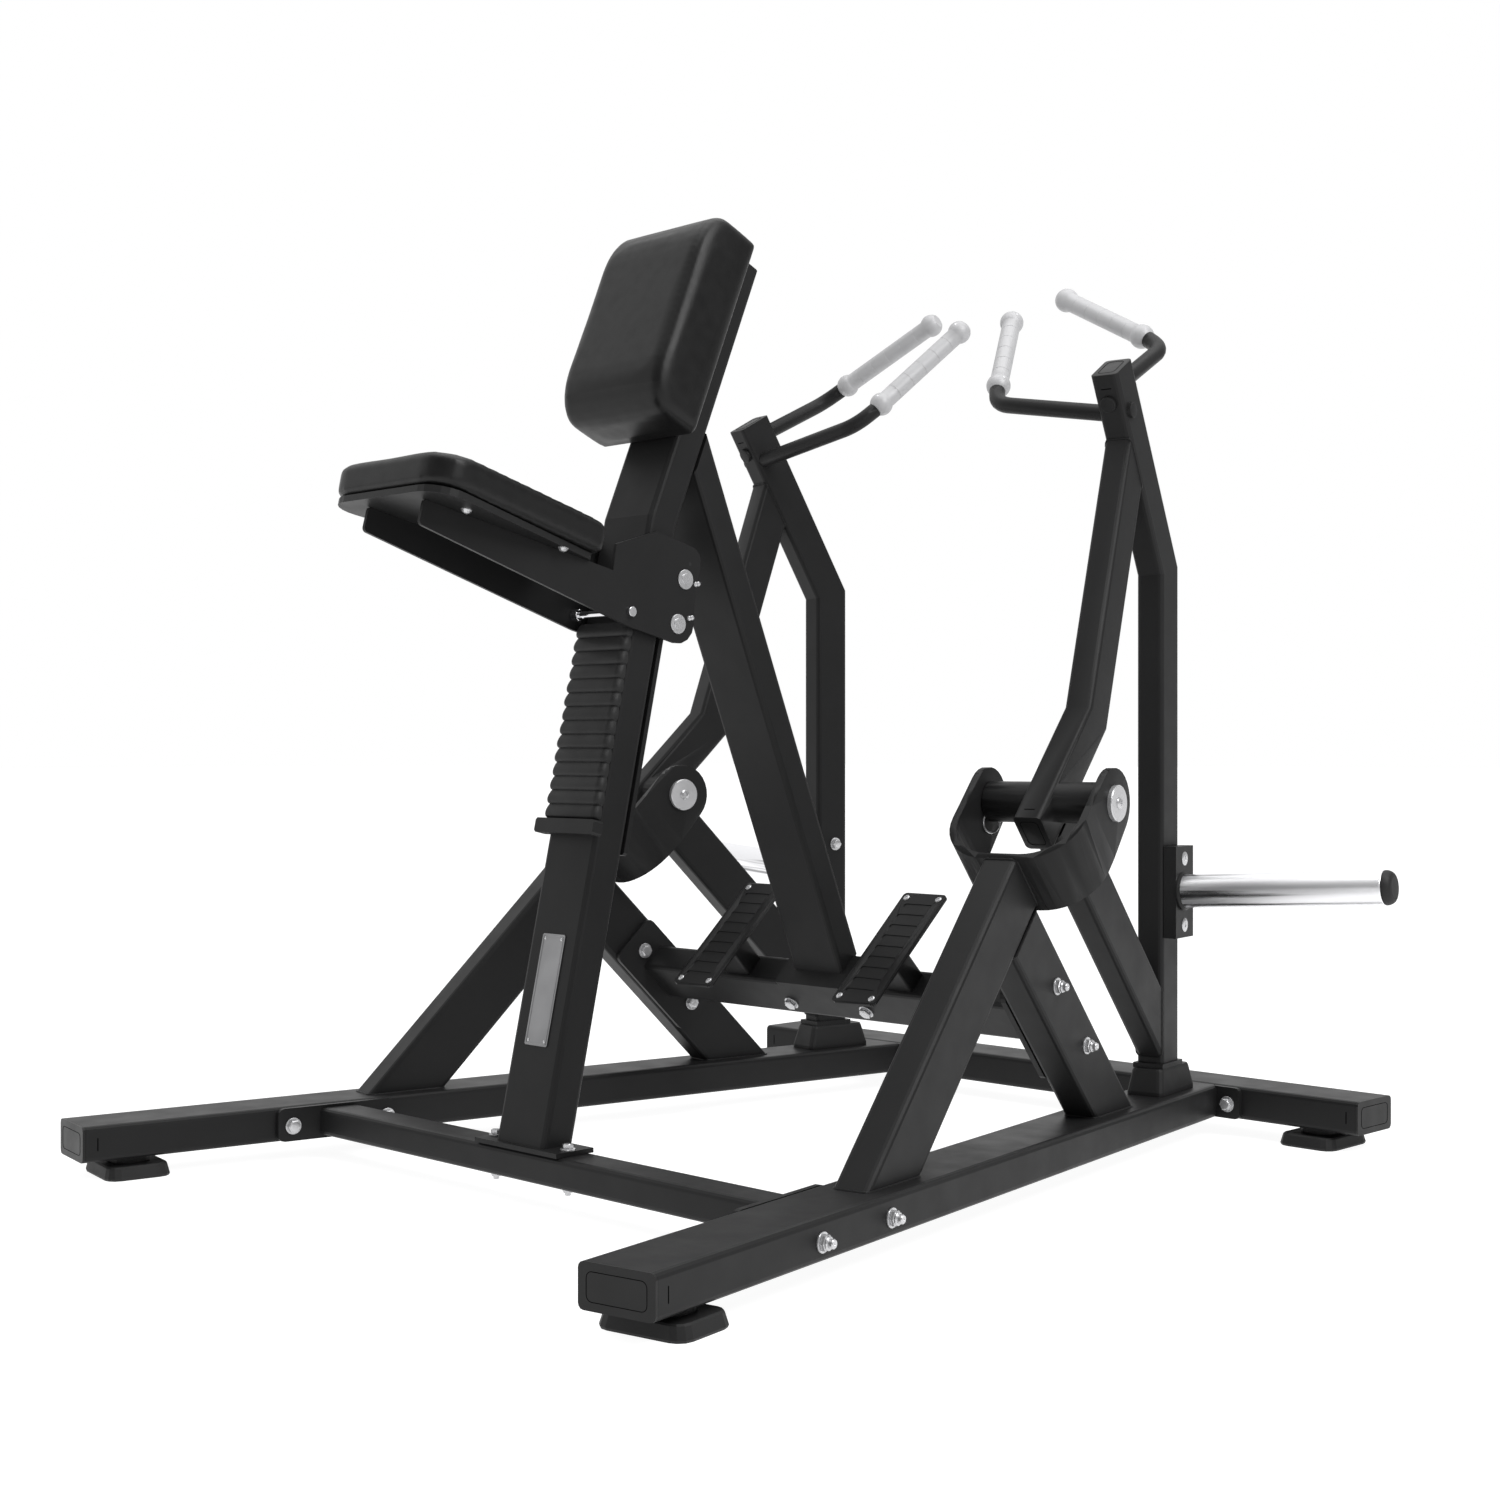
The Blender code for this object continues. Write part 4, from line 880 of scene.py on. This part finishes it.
def stuffed(node, name, body, swell, rest_normal):
    """Foam pad: the node's shape as an even mesh, filled out by pressure.

    No point rises by more than swell, and those on the face that rests on the board
    stay where they are.
    """
    mesh_step, inset, rounds = 0.0045, 0.0010, 60
    board_gap, blend = 0.003, 0.016
    source = NODES[node].data.copy()
    weld(source)
    pad = add_object(name, source)
    remesh = pad.modifiers.new("even", "REMESH")
    remesh.mode = "VOXEL"
    remesh.voxel_size = mesh_step
    bake(pad)
    follow(pad.data, node, inset)
    before = places(pad.data)
    after = inflate(pad)
    normals = places(pad.data, "normal")
    rise = np.clip(((after - before) * normals).sum(axis=1), 0.0, 3 * swell)
    rise = np.minimum(even_out(pad.data, rise, rounds), swell)
    depth = before @ np.array(rest_normal)
    free = np.clip((depth - depth.min() - board_gap) / blend, 0.0, 1.0)
    rise *= free * free * (3 - 2 * free)
    pad.data.vertices.foreach_set("co", (before + normals * rise[:, None]).ravel())
    relax(pad.data)
    pad.modifiers.new("fine", "SUBSURF").levels = 1
    bake(pad)
    pad.data.shade_smooth()
    finish_piece(pad, "black_vinyl", body, (node,))


def follow(mesh, node, inset):
    """Lay the even mesh back on the node's surface, a little under it."""
    tree = tree_of(node)
    moved = [tree.find_nearest(vert.co)[0] - vert.normal * inset for vert in mesh.vertices]
    for vert, place in zip(mesh.vertices, moved):
        vert.co = place
    relax(mesh)
    mesh.update()


def even_out(mesh, values, rounds):
    """Average a value over neighbouring points, several times."""
    edges = np.zeros(len(mesh.edges) * 2, dtype=np.int32)
    mesh.edges.foreach_get("vertices", edges)
    ends = edges.reshape(-1, 2)
    count = np.bincount(edges, minlength=len(values))
    for _ in range(rounds):
        total = (np.bincount(ends[:, 0], values[ends[:, 1]], len(values))
                 + np.bincount(ends[:, 1], values[ends[:, 0]], len(values)))
        values = 0.5 * values + 0.5 * total / count
    return values


def relax(mesh):
    """Move every point halfway to the middle of its neighbours."""
    edit(mesh, lambda work: bmesh.ops.smooth_vert(
        work, verts=work.verts, factor=0.5, use_axis_x=True, use_axis_y=True,
        use_axis_z=True))


def inflate(pad):
    """Cloth under inner pressure for some frames; returns where the points end."""
    frames = 20
    cloth = pad.modifiers.new("cover", "CLOTH")
    for key, value in {"quality": 6, "mass": 0.3, "tension_stiffness": 25,
                       "compression_stiffness": 25, "shear_stiffness": 10,
                       "bending_stiffness": 2, "use_pressure": True,
                       "uniform_pressure_force": 4}.items():
        setattr(cloth.settings, key, value)
    cloth.settings.effector_weights.gravity = 0
    cloth.collision_settings.use_collision = False
    cloth.point_cache.frame_start = 1
    cloth.point_cache.frame_end = frames
    scene = bpy.context.scene
    for number in range(1, frames + 1):
        scene.frame_set(number)
    graph = bpy.context.evaluated_depsgraph_get()
    result = places(pad.evaluated_get(graph).data)
    pad.modifiers.clear()
    scene.frame_set(1)
    return result


def make_pads():
    """The two pads, each filled away from the face of its board."""
    for board, facing, node, name, body, swell in (
            ("chest_board", POST_AHEAD, "chest_pad", "chest_cushion", "frame", 0.0028),
            ("seat_board", UP, "seat_pad", "seat_cushion", "seat_carriage", 0.0024)):
        _, normal = touch(board, centre_of(board) + facing * 0.5, -facing)
        stuffed(node, name, body, swell, normal)


# ---- swing arms ----


def grip_profile(length, radius, ball, flat):
    """Ball-ended grip with fine turned grooves along its barrel."""
    groove, steps = 0.00045, 12
    first = -math.asin(flat / ball)
    last = math.acos(radius / ball)
    end = [(ball * math.sin(first + (last - first) * k / steps),
            ball * math.cos(first + (last - first) * k / steps)) for k in range(steps + 1)]
    low = end[-1][0]
    barrel = []
    for share in (0.12, 0.31, 0.5, 0.69, 0.88):
        spot = low + (length - 2 * low) * share
        barrel += [(spot - 0.0006, radius), (spot - 0.0002, radius - groove),
                   (spot + 0.0002, radius - groove), (spot + 0.0006, radius)]
    return end + barrel + [(length - along, size) for along, size in reversed(end)]


def make_grips(side):
    """Turned grips in place of the plain ones, with a set screw in each ball."""
    flat_share, barrel_share = 0.79, 0.774
    for which in ("inner_grip", "outer_grip"):
        node = side.node(which)
        points = points_of(node)
        centre = points.mean(axis=0)
        _, _, basis = np.linalg.svd(points - centre, full_matrices=False)
        axis = Vector(basis[0])
        axis = axis if axis.z > 0 else -axis
        low, high = reach(points, axis)
        side_dir, up_dir = across(axis)
        mid = Vector(centre)
        ball = extent(points, side_dir) / 2
        flat = ball * flat_share
        start = mid + axis * (low + flat - mid.dot(axis))
        length = high - low - 2 * flat
        profile = grip_profile(length, ball * barrel_share, ball - 0.0001, flat)
        Piece().revolve(start, axis, profile, 48).place(
            node.replace("grip", "turned_grip"), "silver_grip", side.arm, (node,),
            sharp=40.0)
        screws = Piece()
        facing = (up_dir * 0.6 - side_dir * 0.4).normalized()
        for along in (0.0, length):
            screws.revolve(start + axis * along + facing * (ball - 0.0008), facing,
                           [(0, 0.0024), (0.0009, 0.0022), (0.0010, 0.0010)], 16)
        screws.place(node + "_set_screws", "zinc_steel", side.arm)


def make_sleeve(side):
    """Weight sleeve with a chamfered root, and a soft-edged cap on its end."""
    node, cap = side.node("weight_sleeve"), side.node("sleeve_cap")
    points = points_of(node)
    block = side.span("sleeve_block", side.out)[1]
    root = Vector(slab(node, side.out, block - 0.001, block + 0.004).mean(axis=0))
    axis = (centre_of(cap) - root).normalized()
    low, high = reach(points, axis)
    base = root.dot(axis)
    side_dir, up_dir = across(axis)
    radius = extent(points, up_dir) / 2
    start = low - base + 0.0030
    piece = Piece().revolve(root, axis, [(start, radius - 0.0010), (start + 0.001, radius),
                                         (high - base - 0.0012, radius),
                                         (high - base, radius - 0.0008)], 64)
    side.add(piece, "plated_sleeve", "chrome", side.arm, replaces=(node,),
             material=SLEEVE_CHROME, local=axes_matrix(root, axis, side_dir, up_dir))
    collar = Piece().revolve(root, axis, [(0.0002, radius + 0.0042), (0.0020, radius + 0.0040),
                                          (0.0042, radius + 0.0012), (0.0050, radius)], 48)
    side.add(collar, "sleeve_root_weld", "painted_steel", side.arm)
    low, high = span(cap, axis)
    length = high - low
    edge = radius + 0.0002
    face = edge - 0.0085
    steps, lip = 8, 0.0012
    profile = [(0, edge - 0.0005), (lip, edge)]
    for k in range(1, steps + 1):
        angle = math.pi / 2 * k / steps
        profile.append((lip + (length - 0.0018) * math.sin(angle),
                        face + (edge - face) * math.cos(angle)))
    profile += [(length - 0.0010, face - 0.0004), (length - 0.0004, face - 0.0010)]
    dome = Piece().revolve(root + axis * (low - base), axis, profile, 48)
    side.add(dome, "domed_cap", "black_rubber", side.arm, replaces=(cap,), sharp=45.0)


def axes_matrix(origin, x_axis, y_axis, z_axis):
    """Matrix of an object with its own origin and axes."""
    columns = Matrix((x_axis, y_axis, z_axis)).transposed().to_4x4()
    columns.translation = origin
    return columns


def block_details(side):
    """Two screws through the sleeve block and their nuts inside the upright."""
    block, upright = side.node("sleeve_block"), side.node("upright")
    inset = 0.019
    outer = span(block, side.out)[1]
    low, high = span(block, UP)
    along = middle(block, side.back)
    inner = reach(slab(upright, UP, low - 0.2, high + 0.6), side.out)[0]
    screws, nuts = Piece(), Piece()
    for height in (low + inset, high - inset):
        spot = at(side.axes, (outer, along, height))
        screws.revolve(spot, side.out, [(0, 0.0105), (0.0006, 0.0105), (0.0010, 0.0098),
                                        (0.0010, 0.0040), (0.0002, 0.0036)], 32)
        start = at(side.axes, (inner - 0.1, along, height))
        point, _ = touch(upright, start, side.out)
        hex_bolt(nuts, point, -side.out, 0.015, 0.011)
    side.add(screws, "sleeve_block_screws", "zinc_steel", side.arm)
    side.add(nuts, "sleeve_block_nuts", "zinc_steel", side.arm)


def close_tube_end(side, names, axes, sign, breadth, end, depth, slit_place):
    """Moulded cap in a tube's end, with painted shade: a near-black line for its parting groove and a near-black
    slit on the tube's front.

    The names are the cap's and the marks'; the axes run across, along and to the front.
    Sign is +1 where the end is the high one along the tube, -1 where it is the low one.
    Breadth and depth are the tube's reaches across and to the front.
    """
    corner, edge = 0.007, 0.0008
    _, along, ahead = axes
    width, height = breadth[1] - breadth[0], depth[1] - depth[0]
    mid_out, mid_ahead = sum(breadth) / 2, sum(depth) / 2
    up = ahead * side.out.cross(ahead).dot(along * sign)
    outline = rounded_rect(width, height, corner)
    small = rounded_rect(width - 2 * edge, height - 2 * edge, corner - 0.0005)
    cap = Piece().prism(at(axes, (mid_out, end, mid_ahead)), side.out, up,
                        [(-0.0004, outline), (0.0003, outline), (edge, small)])
    side.add(cap, names[0], "black_plastic", side.arm)
    # The marks take the near-black finish: painted shade of the groove and the slot.
    marks = Piece()
    painted_groove_line(marks, at(axes, (mid_out, end + sign * edge, mid_ahead)), side.out, ahead,
               width * 0.62, height * 0.72, 0.006)
    painted_slit(marks, at(axes, (mid_out, end - sign * slit_place, depth[1])), side.out, ahead, 0.016)
    side.add(marks, names[1], "black_rubber", side.arm, material=PAINTED_SHADE)


def upright_details(side):
    """End cap and the welded handle ends that show on the upright."""
    node = side.node("upright")
    inner, outer = reach(slab(node, UP, 0.3, 2.0), side.out)
    lean = leaning_axis(side)
    ahead = lean.cross(side.out)
    ahead = ahead if ahead.dot(side.back) < 0 else -ahead
    axes = (side.out, lean, ahead)
    top = span(node, lean)[1]
    depth = reach(slab(node, lean, top - 0.004, top + 0.001), ahead)
    close_tube_end(side, ("upright_cap", "upright_cap_tab"), axes, 1, (inner, outer), top,
                   depth, 0.0210)
    ends = Piece()
    spot = handle_end(side.node("outer_handle"), ahead)
    boss(ends, at(axes, ((inner + outer) / 2 - 0.001, spot.dot(lean) - 0.014, depth[1])),
         ahead, 0.0116, 0.0050)
    spot = handle_end(side.node("inner_handle"), side.out)
    boss(ends, spot + side.out * (outer - spot.dot(side.out)), side.out, 0.0112, 0.0056)
    side.add(ends, "handle_ends", "painted_steel", side.arm)


def handle_end(node, direction):
    """Middle of a handle tube's end on one side."""
    ring = end_ring(node, direction, 0.90)
    return sum(ring, Vector()) / len(ring)


def boss(piece, origin, axis, radius, height):
    """Short round boss with an eased edge."""
    piece.revolve(origin, axis, [(-0.0005, radius), (height, radius),
                                 (height + 0.0006, radius - 0.0005),
                                 (height + 0.0008, radius - 0.0014)], 40)


def leaning_axis(side):
    """Direction of the upright's forward-leaning top section."""
    points = points_of(side.node("upright"))
    below_top = points[:, 2].max() - points[:, 2]
    top = points[below_top < 0.08]
    bend = points[(below_top > 0.2) & (below_top < 0.36)]
    delta = Vector(top.mean(axis=0)) - Vector(bend.mean(axis=0))
    delta -= side.out * delta.dot(side.out)
    return delta.normalized()


def arm_details(side):
    """Cap in the arm's lower end."""
    node = side.node("arm_tube")
    lengthwise = arm_axis(side)
    ahead = side.out.cross(lengthwise)
    ahead = ahead if ahead.z > 0 else -ahead
    end = reach(arm_tip(side, 0.06, 0.015), lengthwise)[0]
    face = slab(node, lengthwise, end - 0.001, end + 0.001)
    close_tube_end(side, ("arm_end_cap", "arm_cap_tab"), (side.out, lengthwise, ahead), -1,
                   reach(face, side.out), end, reach(face, ahead), 0.0150)


def arm_tip(side, height, clearance):
    """Points of the arm's lowest part, ahead of its pivot sleeve."""
    points = points_of(side.node("arm_tube"))
    low = points[points[:, 2] < points[:, 2].min() + height]
    return low[low @ np.array(side.back) < side.pivot.dot(side.back) - clearance]


def arm_axis(side):
    """Direction of the arm's lower section, from its low end towards the bend."""
    start = Vector(arm_tip(side, 0.05, 0.02).mean(axis=0))
    below = start - side.back * 0.2 - UP * 0.2
    _, normal = touch(side.node("arm_tube"), below, start - below)
    return -normal


def arm_welds(side):
    """Beads where the lower link and the arm tube meet the upright."""
    piece = Piece()
    bead(piece, end_ring(side.node("lower_link"), side.back, 0.6))
    bead(piece, end_ring(side.node("arm_tube"), UP, 0.80))
    side.add(piece, "arm_welds", "painted_steel", side.arm)


# ---- stage ----

CAMERA_PLACE = (2.15, -2.1462, 0.597)
CAMERA_TURN = math.radians(45)
CAMERA_LENS = 50.1
WHITE = (1.0, 1.0, 1.0, 1.0)
MIX_FIRST, MIX_SECOND, MIX_RESULT = 6, 7, 2  # colour sockets of the mix node


def area_light(name, location, target, size, power):
    """Soft rectangular light aimed at a point; its power is in watts."""
    data = bpy.data.lights.new(name, "AREA")
    data.shape = "RECTANGLE"
    data.size, data.size_y = size
    data.energy = power
    light = add_object(name, data)
    light.location = location
    aim = Vector(target) - Vector(location)
    light.rotation_euler = aim.to_track_quat("-Z", "Y").to_euler()


def make_world():
    """Studio surround: white behind and above the machine, dim in front and to its right.

    The dim regions only show in what they light. The camera itself sees plain white, so the
    backdrop stays white from every angle.
    """
    world = bpy.data.worlds.new("studio")
    bpy.context.scene.world = world
    world.use_nodes = True
    tree = world.node_tree
    background = tree.nodes["Background"]
    coords = add_node(tree, "TexCoord")
    shades = []
    for direction, dim, start, end in (((0.45, -0.88, -0.15), 0.26, 0.0, 0.75),
                                       ((0.72, 0.69, 0.0), 0.24, 0.45, 0.85)):
        towards = add_node(tree, "VectorMath", operation="DOT_PRODUCT")
        towards.inputs[1].default_value = Vector(direction).normalized()
        tree.links.new(coords.outputs["Generated"], towards.inputs[0])
        shades.append(ramp(tree, towards.outputs["Value"], 1.0, dim, start, end))
    both = add_node(tree, "Mix", data_type="RGBA", blend_type="MULTIPLY", in_Factor=1.0)
    for shade_out, socket in zip(shades, (MIX_FIRST, MIX_SECOND)):
        tree.links.new(shade_out, both.inputs[socket])
    seen = add_node(tree, "Mix", data_type="RGBA")
    path = add_node(tree, "LightPath")
    tree.links.new(path.outputs["Is Camera Ray"], seen.inputs["Factor"])
    tree.links.new(both.outputs[MIX_RESULT], seen.inputs[MIX_FIRST])
    seen.inputs[MIX_SECOND].default_value = WHITE
    tree.links.new(seen.outputs[MIX_RESULT], background.inputs["Color"])
    background.inputs["Strength"].default_value = 1.0


def make_stage():
    """Floor that glows evenly, two soft lights, the surround and the camera."""
    edge = 60.0
    mesh = bpy.data.meshes.new("studio_floor")
    mesh.from_pydata([(-edge, -edge, 0), (edge, -edge, 0), (edge, edge, 0),
                      (-edge, edge, 0)], [], [(0, 1, 2, 3)])
    floor = add_object("studio_floor", mesh)
    mat, _, shader = new_material("studio_floor")
    set_inputs(shader, {"Base Color": (0.3, 0.3, 0.3, 1.0), "Roughness": 0.95,
                        "Specular IOR Level": 0.0, "Emission Color": WHITE,
                        "Emission Strength": 0.93})
    mesh.materials.append(mat)
    make_world()
    area_light("top_light", (0.3, 0.2, 3.6), (0, 0, 0.5), (3.0, 3.0), 45)
    area_light("side_light", (2.3, 0.1, 2.5), (0.4, 0.2, 0.6), (1.4, 1.6), 46)
    camera = add_object("camera", bpy.data.cameras.new("camera"))
    camera.data.lens = CAMERA_LENS
    camera.data.sensor_width = 36
    camera.location = CAMERA_PLACE
    camera.rotation_euler = (math.radians(90), 0, CAMERA_TURN)
    bpy.context.scene.camera = camera
    bpy.context.scene.view_settings.view_transform = "Standard"


# ---- build ----

dress_frame()
make_pads()
make_bellows()
nameplate_details()
carriage_details()
mid_tube_fasteners()
for machine_side in SIDES:
    for add_details in (rail_fasteners, strut_fasteners, pivot_details, rail_cap_details,
                        rear_cap_details, frame_welds, foot_plate_details, make_grips,
                        make_sleeve, block_details, upright_details, arm_details,
                        arm_welds):
        add_details(machine_side)
    smoothed(machine_side.node("pivot_bracket"), "frame")
    for piece_name in ("inner_handle", "outer_handle", "arm_tube"):
        smoothed(machine_side.node(piece_name), machine_side.arm)
make_stage()
